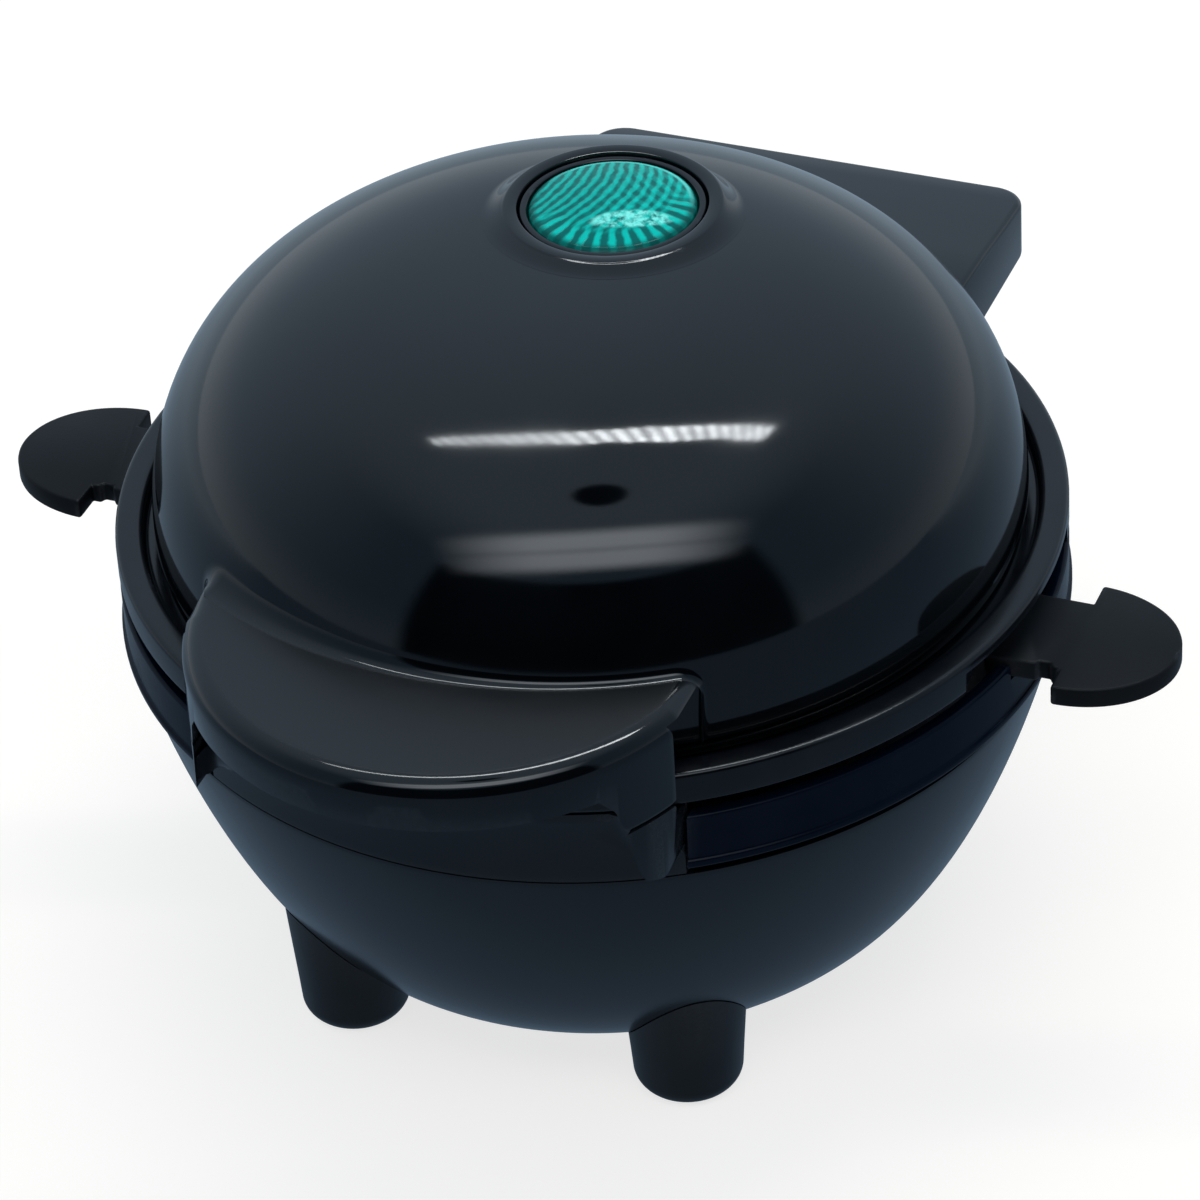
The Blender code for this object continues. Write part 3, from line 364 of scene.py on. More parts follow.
# ---------------------------------------------------------------- node helpers
class Value:
    """What a node's socket gives.  Arithmetic on it makes Math nodes."""

    def __init__(self, tree, socket):
        self.tree, self.socket = tree, socket

    def to(self, socket):
        self.tree.links.new(self.socket, socket)

    def calc(self, operation, other=None):
        """The result of a Math node, whose second input is a value or a number."""
        node = add(self.tree, "ShaderNodeMath", operation=operation)
        self.to(node.inputs[0])
        if other is not None:
            fill(node.inputs[1], other)
        return Value(self.tree, node.outputs[0])

    def __add__(self, other):
        return self.calc("ADD", other)

    def __sub__(self, other):
        return self.calc("SUBTRACT", other)

    def __mul__(self, other):
        return self.calc("MULTIPLY", other)

    def __truediv__(self, other):
        return self.calc("DIVIDE", other)

    def __abs__(self):
        return self.calc("ABSOLUTE")

    def xyz(self):
        """The three parts of a vector."""
        node = add(self.tree, "ShaderNodeSeparateXYZ")
        self.to(node.inputs[0])
        return [Value(self.tree, socket) for socket in node.outputs]

    def spread(self, from_low, from_high, to_low, to_high, kind="LINEAR"):
        """Maps one range of the value onto another, and holds it at both ends."""
        node = add(self.tree, "ShaderNodeMapRange", interpolation_type=kind)
        self.to(node.inputs["Value"])
        for socket, number in zip(node.inputs[1:5], (from_low, from_high, to_low, to_high)):
            socket.default_value = number
        return Value(self.tree, node.outputs["Result"])

    def ramp(self, start, end, low=0.0, high=1.0):
        """Goes smoothly from low to high as the value goes from start to end."""
        return self.spread(start, end, low, high, "SMOOTHSTEP")


def fill(socket, value):
    """Links a value to a socket, or sets the socket to a constant."""
    if isinstance(value, Value):
        value.to(socket)
    else:
        socket.default_value = value


def set_inputs(node, **values):
    """Fills a node's inputs, whose names are given with _ for a space."""
    for name, value in values.items():
        fill(node.inputs[name.replace("_", " ")], value)


def add(tree, kind, **settings):
    node = tree.nodes.new(kind)
    for key, value in settings.items():
        setattr(node, key, value)
    return node


def given(tree, kind, output):
    """An output of a new node that needs no input."""
    return Value(tree, add(tree, kind).outputs[output])


def new_material(name):
    mat = bpy.data.materials.new(name)
    mat.use_nodes = True
    return mat, mat.node_tree, mat.node_tree.nodes["Principled BSDF"]


def toward(x, y, angle_deg):
    """How far (x, y) lies in a level direction, given by its angle from +X."""
    return x * math.cos(math.radians(angle_deg)) + y * math.sin(math.radians(angle_deg))


def flat_length(x, y):
    return (x * x + y * y).calc("SQRT")


def noise(place, size, detail=3.0):
    """A noise whose features are about that many metres across."""
    node = add(place.tree, "ShaderNodeTexNoise")
    set_inputs(node, Vector=place, Scale=1.0 / size, Detail=detail, Roughness=0.55)
    return Value(place.tree, node.outputs["Fac"])


def mixed(factor, first, second):
    """Colour mix of two tones, each of which is (red, green, blue) or a value."""
    node = add(factor.tree, "ShaderNodeMix", data_type="RGBA")
    factor.to(node.inputs["Factor"])
    for socket, tone in zip(node.inputs[6:8], (first, second)):
        fill(socket, (*tone, 1.0) if isinstance(tone, tuple) else tone)
    return Value(factor.tree, node.outputs[2])


def relief(height, depth, normal=None):
    """Fine bumps of a given depth, on top of another normal where there is one."""
    node = add(height.tree, "ShaderNodeBump")
    set_inputs(node, Height=height, Strength=1.0, Distance=depth)
    if normal:
        normal.to(node.inputs["Normal"])
    return Value(height.tree, node.outputs["Normal"])


def flat_at(tree, level):
    """1 where a surface lies flat at a height above the lid ring's top, else 0."""
    own = add(tree, "ShaderNodeVectorTransform", vector_type="NORMAL", convert_from="WORLD",
              convert_to="OBJECT")
    given(tree, "ShaderNodeNewGeometry", "True Normal").to(own.inputs[0])
    upward = Value(tree, own.outputs[0]).xyz()[2]
    off = abs(given(tree, "ShaderNodeTexCoord", "Object").xyz()[2] - level)
    return off.spread(0.0, 0.0002, 1.0, 0.0) * upward.spread(0.97, 0.995, 0.0, 1.0)


def finish(name, tone, patch_tone, rough, grain, depth, patch=0.012, metallic=0.0,
           wear_tone=None, wave=None, stretch=(1.0, 1.0, 1.0), specular=0.5,
           satin_level=None):
    """A moulded, cast or rolled surface.

    tone and patch_tone vary over patches, rough is the (lowest, highest) roughness, grain and
    depth are the fine texture's width and height, wear_tone shows on edges, wave is the
    (width, height) of slow unevenness, and stretch draws the grain out along an axis.
    A flat area at satin_level is less glossy than the rest."""
    mat, tree, shader = new_material(name)
    place = given(tree, "ShaderNodeTexCoord", "Object")
    mapping = add(tree, "ShaderNodeMapping")
    set_inputs(mapping, Vector=place, Scale=stretch)
    grainy = noise(Value(tree, mapping.outputs["Vector"]), grain, 2.0)
    patchy = noise(place, patch, 4.0)
    colour = mixed(patchy.spread(0.35, 0.65, 0.0, 1.0), tone, patch_tone)
    roughness = patchy.spread(0.32, 0.68, *rough)
    if wear_tone:
        edge = given(tree, "ShaderNodeNewGeometry", "Pointiness")
        worn = edge.spread(0.53, 0.62, 0.0, 0.6) * grainy.spread(0.3, 0.7, 0.4, 1.0)
        colour = mixed(worn, colour, wear_tone)
        roughness = roughness + worn * 0.15
    if satin_level is not None:
        roughness = roughness + flat_at(tree, satin_level) * 0.22
    normal = relief(noise(place, wave[0], 1.0), wave[1]) if wave else None
    set_inputs(shader, Base_Color=colour, Roughness=roughness, Metallic=metallic,
               Normal=relief(grainy, depth, normal), Specular_IOR_Level=specular)
    return mat


def lens_ribs(x, y, wobble):
    """Two families of slightly bent ribs; the second one is faint on the left."""
    families = []
    for turn_deg, pitch, bow in ((-8.0, 0.00150, 30.0), (52.0, 0.00175, -20.0)):
        along = toward(x, y, turn_deg + 90.0)
        bent = toward(x, y, turn_deg) + wobble + along * along * bow
        families.append((bent * (2 * math.pi / pitch)).calc("SINE").ramp(-0.8, 0.9))
    return families[0] * 0.70 + families[1] * x.spread(-0.004, 0.006, 0.15, 0.75) * 0.45


def lens_petals(x, y, wobble):
    """Ragged scallops that radiate from the lens's axis."""
    ragged = y.calc("ARCTAN2", x) * 30.0 + wobble * 2600.0
    return ragged.calc("SINE").ramp(-0.6, 0.8)


def painted_lens_highlight(place, x, y):
    """A cloudy, slanted oval of painted highlight: the strip light's reflection, painted into
    the lens's colour.
    """
    patch_x = (x - 0.0042) / 0.0056
    patch_y = (y - x * 0.40 + 0.0056) / 0.0022
    from_middle = patch_x * patch_x + patch_y * patch_y
    return from_middle.ramp(1.0, 0.5) * noise(place, 0.0010).spread(0.36, 0.58, 0.0, 0.85)


def lens_finish():
    """Green prismatic lens: curved ribs under a smooth face, with scallops round the front, a
    painted highlight ring along the back of the rim and a painted highlight patch.
    """
    mat, tree, shader = new_material("ribbed_green_lens")
    place = given(tree, "ShaderNodeTexCoord", "Object")
    x, y, _ = place.xyz()
    wobble = (noise(place, 0.0022) - 0.5) * 0.0011
    reach = flat_length(x, y) / LENS_RADIUS
    pattern = add(tree, "ShaderNodeMix")
    fill(pattern.inputs[0], reach.ramp(0.60, 0.76) * (x * 0.6 - y).ramp(-0.0010, 0.0040))
    fill(pattern.inputs[2], lens_ribs(x, y, wobble))
    fill(pattern.inputs[3], lens_petals(x, y, wobble))
    height = Value(tree, pattern.outputs[0])
    colour = mixed(height, (0.0, 0.115, 0.100), (0.0, 0.470, 0.385))
    colour = mixed(reach.ramp(0.88, 0.98) * 0.85, colour, (0.0, 0.060, 0.052))
    # Painted highlight: a pale thin ring along the back of the lens's rim.
    thin = reach.spread(0.90, 0.93, 0.0, 0.8) * reach.spread(0.95, 0.98, 1.0, 0.0)
    colour = mixed(thin * y.spread(0.002, 0.007, 0.0, 1.0), colour, (0.120, 0.700, 0.600))
    # Painted highlight: a pale cloudy oval where the strip light is seen reflected, which glows
    # with the rest of the lens.
    colour = mixed(painted_lens_highlight(place, x, y), colour, (0.240, 0.860, 0.740))
    set_inputs(shader, Base_Color=colour, Emission_Color=colour, Emission_Strength=0.30,
               Roughness=height.spread(0.0, 1.0, 0.24, 0.14), Specular_IOR_Level=0.06,
               Normal=relief(height, 0.00010), Coat_Weight=0.10, Coat_Roughness=0.04)
    return mat


# ---------------------------------------------------------------- lid pieces
def collar_skin():
    """The lamp's raised collar, from its bore out to where it runs into the dome."""
    angles = [2 * math.pi * i / LAMP_STEPS for i in range(LAMP_STEPS)]
    outward = [Vector((math.cos(a), math.sin(a))) for a in angles]
    centre = Vector((0.0, LAMP_Y))
    bore, top, flat = BEZEL_RADIUS + 0.0003, COLLAR_TOP_Z, COLLAR_FLAT_RADIUS
    start_radius, start_z = flat + 0.00015, top - 0.00015
    lip = ((bore, top - 0.0045), (bore, top - 0.0003), (bore + 0.0001, top - 0.0001),
           (bore + 0.0003, top), (flat - 0.0002, top), (flat, top - 0.00004),
           (start_radius, start_z))
    rows = [[Vector((*(centre + out * radius), z)) for out in outward] for radius, z in lip]
    span, step, fillet_rows = COLLAR_RADIUS - start_radius, 0.0002, 14
    for t in [k / fillet_rows for k in range(1, fillet_rows + 1)]:
        row = []
        for out in outward:
            end = centre + out * COLLAR_RADIUS
            end_z = dome_height(end.length)
            end_slope = (dome_height((end + out * step).length) - end_z) / step
            start_slope = -min(1.0, 1.35 * (start_z - end_z) / span)
            z = ((2 * t ** 3 - 3 * t ** 2 + 1) * start_z + (t ** 3 - 2 * t ** 2 + t) * span
                 * start_slope + (3 * t ** 2 - 2 * t ** 3) * end_z
                 + (t ** 3 - t ** 2) * span * end_slope)
            row.append(Vector((*(centre + out * (start_radius + span * t)), z + 0.00002)))
        rows.append(row)
    return mesh_piece("collar", lambda bm: loft(bm, rows))


def dome_skin():
    """The dome and the lip that drops inside the lid ring, open where the lamp sits."""
    lip = [(0.0566, -0.0015), (0.0569, -0.0021), (0.0585, -0.0021), (0.0588, -0.0018),
           (0.0588, 0.0004), (0.0591, 0.0006)]
    dome = turned("dome", lip + dome_profile(110))
    bm = bmesh.new()
    bm.from_mesh(dome.data)
    centre = Vector((0.0, LAMP_Y))
    under_lamp = [face for face in bm.faces if face.calc_center_median().z > 0.02
                  and (face.calc_center_median().xy - centre).length < COLLAR_RADIUS - 0.0018]
    bmesh.ops.delete(bm, geom=under_lamp, context="FACES")
    bm.to_mesh(dome.data)
    bm.free()
    return dome


def handle_path(inset):
    """Handle outline moved inward: straight sides, rounded corners and a round front."""
    side = HANDLE_HALF_WIDTH - inset
    corner_x = HANDLE_HALF_WIDTH - HANDLE_CORNER
    reach = HANDLE_RADIUS - HANDLE_CORNER
    corner_y = HANDLE_Y - math.sqrt(reach ** 2 - corner_x ** 2)
    turn = math.degrees(math.atan2(HANDLE_Y - corner_y, corner_x))
    right = arc((corner_x, corner_y), HANDLE_CORNER - inset, 0, -turn, 7)
    front = arc((0.0, HANDLE_Y), HANDLE_RADIUS - inset, -turn, turn - 180, 97)
    left = arc((-corner_x, corner_y), HANDLE_CORNER - inset, turn - 180, -180, 7)
    back = HANDLE_Y + 0.0060
    straight = [corner_y + (back - corner_y) * i / 12 for i in range(1, 13)]
    return [*[(side, y) for y in straight[::-1]], *right, *front[1:-1], *left,
            *[(-side, y) for y in straight]]


def handle_lip(x, y):
    """Radius of the handle's lip, which sharpens toward the left end."""
    t = min(max((y - HANDLE_Y + 0.0110) / 0.0075, 0.0), 1.0) if x < 0 else 0.0
    return HANDLE_LIP + (HANDLE_LIP_LEFT - HANDLE_LIP) * t * t * (3 - 2 * t)


def handle_skin():
    """The handle's plate, lip and skirt, which clear the rings below it."""
    levels = [(0.0, HANDLE_TOP_Z - HANDLE_LIP - 0.0008), (0.0, SKIRT_BOTTOM_Z + 0.0006),
              (0.0, SKIRT_BOTTOM_Z + 0.0003), (0.0001, SKIRT_BOTTOM_Z + 0.0001),
              (0.0003, SKIRT_BOTTOM_Z), (HANDLE_WALL, SKIRT_BOTTOM_Z),
              (HANDLE_WALL, HANDLE_ROOM_Z - 0.0004)]
    lips = [handle_lip(x, y) for x, y in handle_path(0.0)]
    rows = [[Vector((*handle_path(1.2 * lip)[k], HANDLE_TOP_Z)) for k, lip in enumerate(lips)]]
    for turn in [math.radians(9 * i) for i in range(11)]:
        rows.append([Vector((*handle_path(lip * (1 - math.sin(turn)))[k],
                             HANDLE_TOP_Z - lip * (1 - math.cos(turn))))
                     for k, lip in enumerate(lips)])
    rows += [[Vector((x, y, z)) for x, y in handle_path(inset)] for inset, z in levels]
    handle = capped("handle", rows)
    fingers = rounded(TONGUE_INNER, 0.0006, 4) + [(TONGUE_INNER[-1][0], FAR_BELOW)]
    across = fingers + [(-x, z) for x, z in fingers[::-1]]
    carve(handle, disc_cutter(SKIRT_CLEAR_RADIUS, FAR_BELOW, HANDLE_ROOM_Z),
          prism("fingers", across, -FAR_OUT, -WELL_INSIDE, along="y"))
    return soften(handle, 0.00035, 3, 40)


def fillet_radius(x):
    """The fillet behind the handle is full at the left end and tight at the right one."""
    t = min(max((HANDLE_HALF_WIDTH - x) / (2 * HANDLE_HALF_WIDTH), 0.0), 1.0)
    return HANDLE_FILLET_RIGHT + (HANDLE_FILLET_LEFT - HANDLE_FILLET_RIGHT) * t ** 2


def fillet_end(side, lip):
    """The rolling ball's stations round the lip and down one side of the handle."""
    ball = fillet_radius(side * HANDLE_HALF_WIDTH)
    lip_x, lip_z = HANDLE_HALF_WIDTH - lip, HANDLE_TOP_Z - lip
    stations = []
    for b in [math.radians(90 - 90 * i / 16) for i in range(1, 17)]:
        stations.append((side * (lip_x + (lip + ball) * math.cos(b)),
                         lip_z + (lip + ball) * math.sin(b),
                         Vector((-side * math.cos(b), 0.0, -math.sin(b))), ball))
    for i in range(1, 9):
        stations.append((side * (HANDLE_HALF_WIDTH + ball),
                         lip_z + (DOME_FOOT_Z - lip_z) * i / 8, Vector((-side, 0.0, 0.0)), ball))
    return stations


def handle_fillet():
    """Concave strip that a rolling ball would leave between the handle and the dome."""
    first = HANDLE_LIP_LEFT - HANDLE_HALF_WIDTH
    last = HANDLE_HALF_WIDTH - HANDLE_LIP
    stations = fillet_end(-1, HANDLE_LIP_LEFT)[::-1]
    for x in [first + (last - first) * i / 64 for i in range(65)]:
        ball = fillet_radius(x)
        stations.append((x, HANDLE_TOP_Z + ball, Vector((0.0, 0.0, -1.0)), ball))
    stations += fillet_end(1, HANDLE_LIP)
    rows = []
    for x, z, to_handle, ball in stations:
        centre_radius, nearest_z = beside_dome(z, ball)
        centre = Vector((x, -math.sqrt(centre_radius ** 2 - x ** 2), z))
        flat = Vector((centre.x, centre.y, 0.0)).normalized()
        touch = flat * dome_radius(nearest_z) + Vector((0.0, 0.0, nearest_z))
        to_dome = (touch - centre).normalized()
        sweep = to_handle.angle(to_dome)
        row = [centre + ball * (to_handle * math.sin((1 - t) * sweep)
                                + to_dome * math.sin(t * sweep)) / math.sin(sweep)
               for t in (i / 12 for i in range(13))]
        side = -1.0 if x < 0 else 1.0
        behind = Vector((row[0].x - side * 0.0012, row[0].y + 0.0035, row[0].z - 0.0002))
        rows.append([behind if abs(x) > last and z < HANDLE_ROOM_Z else row[0]] + row)
    return mesh_piece("fillet", lambda bm: loft(bm, rows, loop=False))


def lid_ring_skin():
    """Flat ring round the dome, with notches over the tabs and two hinge knuckles."""
    neck, inner, bottom, web_top, web_bottom = 0.0612, 0.0560, -0.0050, -0.0024, -0.0042
    section = [(neck, 0.0), (RING_RADIUS, 0.0), (RING_RADIUS, bottom),
               (RING_WALL_RADIUS, bottom), (RING_WALL_RADIUS, web_bottom), (inner, web_bottom),
               (inner, web_top), (neck, web_top)]
    ring = turned("lid_ring_skin", rounded_ring(section, 0.0009, 7), closed=True)
    for side in (-1, 1):
        carve(ring, block("notch", (side * 0.0605, TAB_Y - 0.0180, -0.0070),
                          (side * 0.0700, TAB_Y + 0.0180, -0.0016)))
    for side in (-1, 1):
        end = arc((HINGE_Y, HINGE_Z), KNUCKLE_RADIUS, 90, -90, 25)
        arm = prism("arm", [(0.0615, -0.0048), (0.0615, -0.0028)] + end,
                    side * KNUCKLE_START, side * KNUCKLE_END, along="x")
        carve(ring, arm, operation="UNION")
    return carve(ring, pin_bore())


def pin_bore():
    bore = disc_cutter(PIN_BORE_RADIUS, -LUG_END - 0.01, LUG_END + 0.01, steps=MEDIUM)
    return moved(bore, (0.0, HINGE_Y, HINGE_Z), math.pi / 2, "Y")


def hinge_cover_skin():
    """Cover behind the dome, with a crowned roof, rounded back corners and thin walls."""
    half, back, corner, wall, front = HINGE_HALF_WIDTH, HINGE_BACK_Y, 0.0050, 0.0020, 0.0560
    bottom, knuckle_room = low("hinge_cover").z, KNUCKLE_END + 0.0005
    roof = [(front, 0.0024), (0.0700, 0.0014), (0.0800, 0.0003), (back, -0.0006)]
    cover = prism("hinge_cover_skin", roof + [(back, bottom), (front, bottom)], -half, half,
                  along="x")
    plan = [(-half, WELL_INSIDE), (half, WELL_INSIDE)]
    plan += arc((half - corner, back - corner), corner, 0, 90, 17)
    plan += arc((-half + corner, back - corner), corner, 90, 180, 17)
    carve(cover, prism("plan", plan, FAR_BELOW, FAR_ABOVE), operation="INTERSECT")
    soften(cover, 0.0009, 4, 40)
    inner = [(min(y, back - wall), z - wall) for y, z in roof]
    inner += [(back - wall, FAR_BELOW), (front, FAR_BELOW)]
    hollow = prism("hollow", inner, -half + wall, half - wall, along="x")
    carve(hollow, disc_cutter(RING_RADIUS + 0.0022, FAR_BELOW, FAR_ABOVE))
    carve(cover, hollow)
    carve(cover, disc_cutter(DOME_RADIUS + 0.0002, FAR_BELOW, FAR_ABOVE))
    carve(cover, disc_cutter(RING_RADIUS + 0.0004, FAR_BELOW, 0.0003))
    return carve(cover, block("knuckle_room", (-knuckle_room, 0.0600, FAR_BELOW),
                              (knuckle_room, 0.0700, -0.0024)))


def disc_cutter(radius, start, end, x=0.0, y=0.0, steps=FINE):
    return turned("disc", [(0.0, start), (radius, start), (radius, end), (0.0, end)],
                  steps=steps, x=x, y=y)


def bezel_skin():
    """Black ring round the lens, with a flange that holds it from below."""
    bore, top = LENS_RADIUS + 0.0003, high("lamp_bezel").z
    section = [(bore, top), (BEZEL_RADIUS, top), (BEZEL_RADIUS, top - 0.0078),
               (0.0100, top - 0.0078), (0.0100, top - 0.0063), (bore, top - 0.0063)]
    return turned("lamp_bezel_skin", rounded_ring(section, 0.0003, 4), closed=True,
                  steps=LAMP_STEPS, y=LAMP_Y)


def lens_skin():
    """Lens with a low crown and a rounded rim, drawn about its own axis."""
    crown = [(LENS_RADIUS - 0.0006) * i / 24 for i in range(25)]
    profile = [(r, -0.0014 * (r / LENS_RADIUS) ** 2.2) for r in crown]
    rim_z = profile[-1][1]
    profile += [(LENS_RADIUS - 0.00025, rim_z - 0.00015), (LENS_RADIUS, rim_z - 0.0005),
                (LENS_RADIUS, -0.0070), (0.0, -0.0070)]
    return turned("lamp_lens_skin", profile, steps=LAMP_STEPS,
                  offset=(0.0, LAMP_Y, LENS_CROWN_Z))


# ---------------------------------------------------------------- base pieces
def base_ring_skin():
    """Upper rim of the base, with notches for the tabs and rooms for bracket and grip."""
    inner, step_z, outer_lip = 0.0580, -0.0138, high("base_ring").x
    top, bottom = high("base_ring").z, low("base_ring").z
    half_notch, grip_half = TAB_NECK + 0.0003, GRIP_HALF_WIDTH + 0.0008
    bracket_half = high("hinge_bracket").x + 0.0003
    section = [(RING_WALL_RADIUS, top), (RING_RADIUS, top), (RING_RADIUS, step_z),
               (outer_lip, step_z - 0.0003), (outer_lip, bottom), (inner, bottom),
               (inner, bottom + 0.0018), (RING_WALL_RADIUS, bottom + 0.0018)]
    ring = turned("base_ring_skin", rounded_ring(section, 0.0006, 6), closed=True)
    for side in (-1, 1):
        carve(ring, block("notch", (side * 0.0560, TAB_Y - half_notch, TAB_BOTTOM_Z - 0.0003),
                          (side * 0.0700, TAB_Y + half_notch, FAR_ABOVE)))
    for half, y, far_y, room_top in ((bracket_half, 0.0500, 0.0700, -0.0101),
                                     (grip_half, -FAR_OUT, -WELL_INSIDE, FAR_ABOVE)):
        room = block("room", (-half, y, FAR_BELOW), (half, far_y, room_top))
        carve(room, disc_cutter(RING_WALL_RADIUS - 0.0002, FAR_BELOW, FAR_ABOVE))
        carve(ring, room)
    return ring


def bowl_skin():
    """Round bowl with a neck inside the base ring, open in the middle of its floor."""
    neck, wall, neck_top, opening = 0.0614, 0.0022, -0.0155, 0.0320
    inner = [(r - wall, z + 0.0012) for r, z in bowl_profile(40)]
    section = [(neck, neck_top), (neck, BOWL_TOP_Z + 0.0003), (neck + 0.0002, BOWL_TOP_Z),
               (BOWL_TOP_RADIUS - 0.0006, BOWL_TOP_Z),
               (BOWL_TOP_RADIUS - 0.0001, BOWL_TOP_Z - 0.0002)]
    section += [(r, z) for r, z in bowl_profile(70) if z < BOWL_TOP_Z - 0.0005]
    section += [(opening, BOWL_FLOOR_Z), (opening, BOWL_FLOOR_Z + wall)]
    section += [(r, z) for r, z in inner[::-1] if r > opening and z < BOWL_TOP_Z - 0.0040]
    section += [(neck - wall, BOWL_TOP_Z - 0.0030), (neck - wall, neck_top)]
    bowl = turned("base_shell_skin", section, closed=True)
    point, _, tilt = inlet_frame()
    bore = disc_cutter(0.0043, -0.0120, 0.0120, steps=MEDIUM)
    return carve(bowl, moved(bore, point, -math.pi / 2 - tilt, "X"))


def inlet_frame():
    """Where the inlet sits on the back of the bowl, its outward axis and that axis's tilt."""
    outer = bowl_profile(41)
    inlet_z = -0.0400
    k = min(range(1, 40), key=lambda i: abs(outer[i][1] - inlet_z))
    along = Vector((outer[k + 1][0] - outer[k - 1][0], outer[k + 1][1] - outer[k - 1][1]))
    tilt = math.atan2(-along.x, -along.y)
    normal = Vector((0.0, math.cos(tilt), -math.sin(tilt)))
    return Vector((0.0, outer[k][0], outer[k][1])), normal, tilt


def cord_inlet_skin():
    """Bushing with a flange outside the wall and a sleeve through it."""
    point, normal, tilt = inlet_frame()
    section = [(0.0026, 0.0120), (0.0056, 0.0120), (0.0062, 0.0114), (0.0062, 0.0098),
               (0.0040, 0.0094), (0.0040, 0.0020), (0.0026, 0.0020)]
    inlet = turned("cord_inlet_skin", rounded_ring(section, 0.0005), closed=True, steps=MEDIUM)
    return moved(inlet, point - normal * 0.0088, -math.pi / 2 - tilt, "X")


def grip_blend(side):
    """Concave web between the grip's wall and a post, fading out toward the post's foot."""
    wall = GRIP_WALL_RADIUS - 0.0007
    rows = []
    for t in [i / 14 for i in range(15)]:
        z = GRIP_TOP_Z - 0.0001 + (GRIP_POST[3][1] - GRIP_TOP_Z) * t
        post_x = GRIP_POST[0][0] + (GRIP_POST[2][0] - GRIP_POST[0][0]) * t
        wall_y = -math.sqrt(wall ** 2 - post_x ** 2)
        front_y = HANDLE_Y - math.sqrt(HANDLE_RADIUS ** 2 - post_x ** 2) + 0.0008
        out = (wall_y - front_y) * math.sqrt(max(1 - t * t, 0.0)) + 0.0002
        start_x = post_x - 0.0004 - 1.05 * out
        start_y = -math.sqrt(wall ** 2 - start_x ** 2)
        row = [((1 - u) ** 2 * start_x + (1 - (1 - u) ** 2) * post_x,
                (1 - u) ** 2 * start_y + (1 - (1 - u) ** 2) * wall_y - u * u * out)
               for u in (k / 12 for k in range(13))]
        row += [(post_x + 0.0004, wall_y - out + 0.0003), (post_x + 0.0004, wall_y + 0.0010),
                (start_x, start_y + 0.0010)]
        rows.append([Vector((side * x, y, z)) for x, y in row])
    return capped("blend", rows)


def lower_grip_skin():
    """Wall in front of the base, flush with the bowl below it, between two short posts."""
    top, web = GRIP_TOP_Z, low("base_ring").z - 0.0003
    foot, neck = BOWL_TOP_Z + 0.0001, 0.0617
    outer = [(GRIP_WALL_RADIUS - 0.0012 * math.sin(math.pi / 2 * t) ** 0.8,
              top + (foot - top) * t ** 1.15) for t in (i / 12 for i in range(13))]
    section = [(GRIP_WALL_RADIUS - 0.0004, top)] + outer[1:] + [
        (neck, foot), (neck, web), (GRIP_INNER_RADIUS, web), (GRIP_INNER_RADIUS, top)]
    grip = turned("lower_grip_skin", section, closed=True)
    carve(grip, block("front", (-GRIP_HALF_WIDTH, -FAR_OUT, FAR_BELOW),
                      (GRIP_HALF_WIDTH, -WELL_INSIDE, FAR_ABOVE)), operation="INTERSECT")
    outline = rounded_ring(GRIP_POST, 0.0003, 3)
    for side in (-1, 1):
        post = prism("post", [(side * x, z) for x, z in outline], -FAR_OUT, -WELL_INSIDE,
                     along="y")
        carve(post, prism("plan", handle_path(0.0), FAR_BELOW, FAR_ABOVE),
              operation="INTERSECT")
        carve(post, disc_cutter(SKIRT_CLEAR_RADIUS, GRIP_TOP_Z, FAR_ABOVE),
              disc_cutter(GRIP_INNER_RADIUS + 0.0003, FAR_BELOW, FAR_ABOVE))
        soften(post, 0.0004, 3, 40)
        carve(grip, post, operation="UNION")
        carve(grip, grip_blend(side), operation="UNION")
    return grip


def hinge_bracket_skin():
    """Block on the back of the base, with two round-ended lugs for the pin."""
    bracket_low, bracket_high = low("hinge_bracket"), high("hinge_bracket")
    front, back = 0.0685, HINGE_Y - 0.0064
    bracket = block("hinge_bracket_skin", (bracket_low.x, 0.0500, bracket_low.z),
                    (bracket_high.x, back, -0.0104))
    soften(bracket, 0.0011, 4, 50)
    carve(bracket, bowl_room(0.0003))
    carve(bracket, disc_cutter(RING_RADIUS + 0.0007, -0.0160, FAR_ABOVE))
    for side in (-1, 1):
        end = arc((HINGE_Y, HINGE_Z), KNUCKLE_RADIUS, 105, -90, 25)
        foot = [(0.0780, -0.0097), (back - 0.0004, -0.0097), (back - 0.0004, -0.0150),
                (front, -0.0150), (front, -0.0090)]
        lug = prism("lug", end + foot, side * LUG_START, side * LUG_END, along="x")
        carve(bracket, lug, operation="UNION")
    return carve(bracket, pin_bore())


def hinge_pin_skin():
    half = high("hinge_pin").x
    profile = rounded([(0.0, -half), (PIN_RADIUS, -half), (PIN_RADIUS, half), (0.0, half)],
                      0.0004)
    pin = turned("hinge_pin_skin", profile, steps=SMALL)
    return moved(pin, (0.0, HINGE_Y, HINGE_Z), math.pi / 2, "Y")


def side_tab_skin(name, side):
    """Flat tab: a neck with a small step, and a round head."""
    root, start, neck, step = 0.0600, 0.0705, TAB_NECK, 0.0008
    outline = [(root, -neck), (0.0672, -neck), (0.0676, step - neck), (0.0690, step - neck),
               (0.0694, -neck), (start, -neck)]
    outline += [(start + (TAB_REACH - start) * u, TAB_HALF * v)
                for u, v in arc((0.0, 0.0), 1.0, -90, 90, 49)]
    outline += [(start, neck), (root, neck)]
    tab = prism(name, [(side * x, y + TAB_Y) for x, y in outline], TAB_BOTTOM_Z, TAB_TOP_Z)
    return soften(tab, 0.0005, 3, 50)


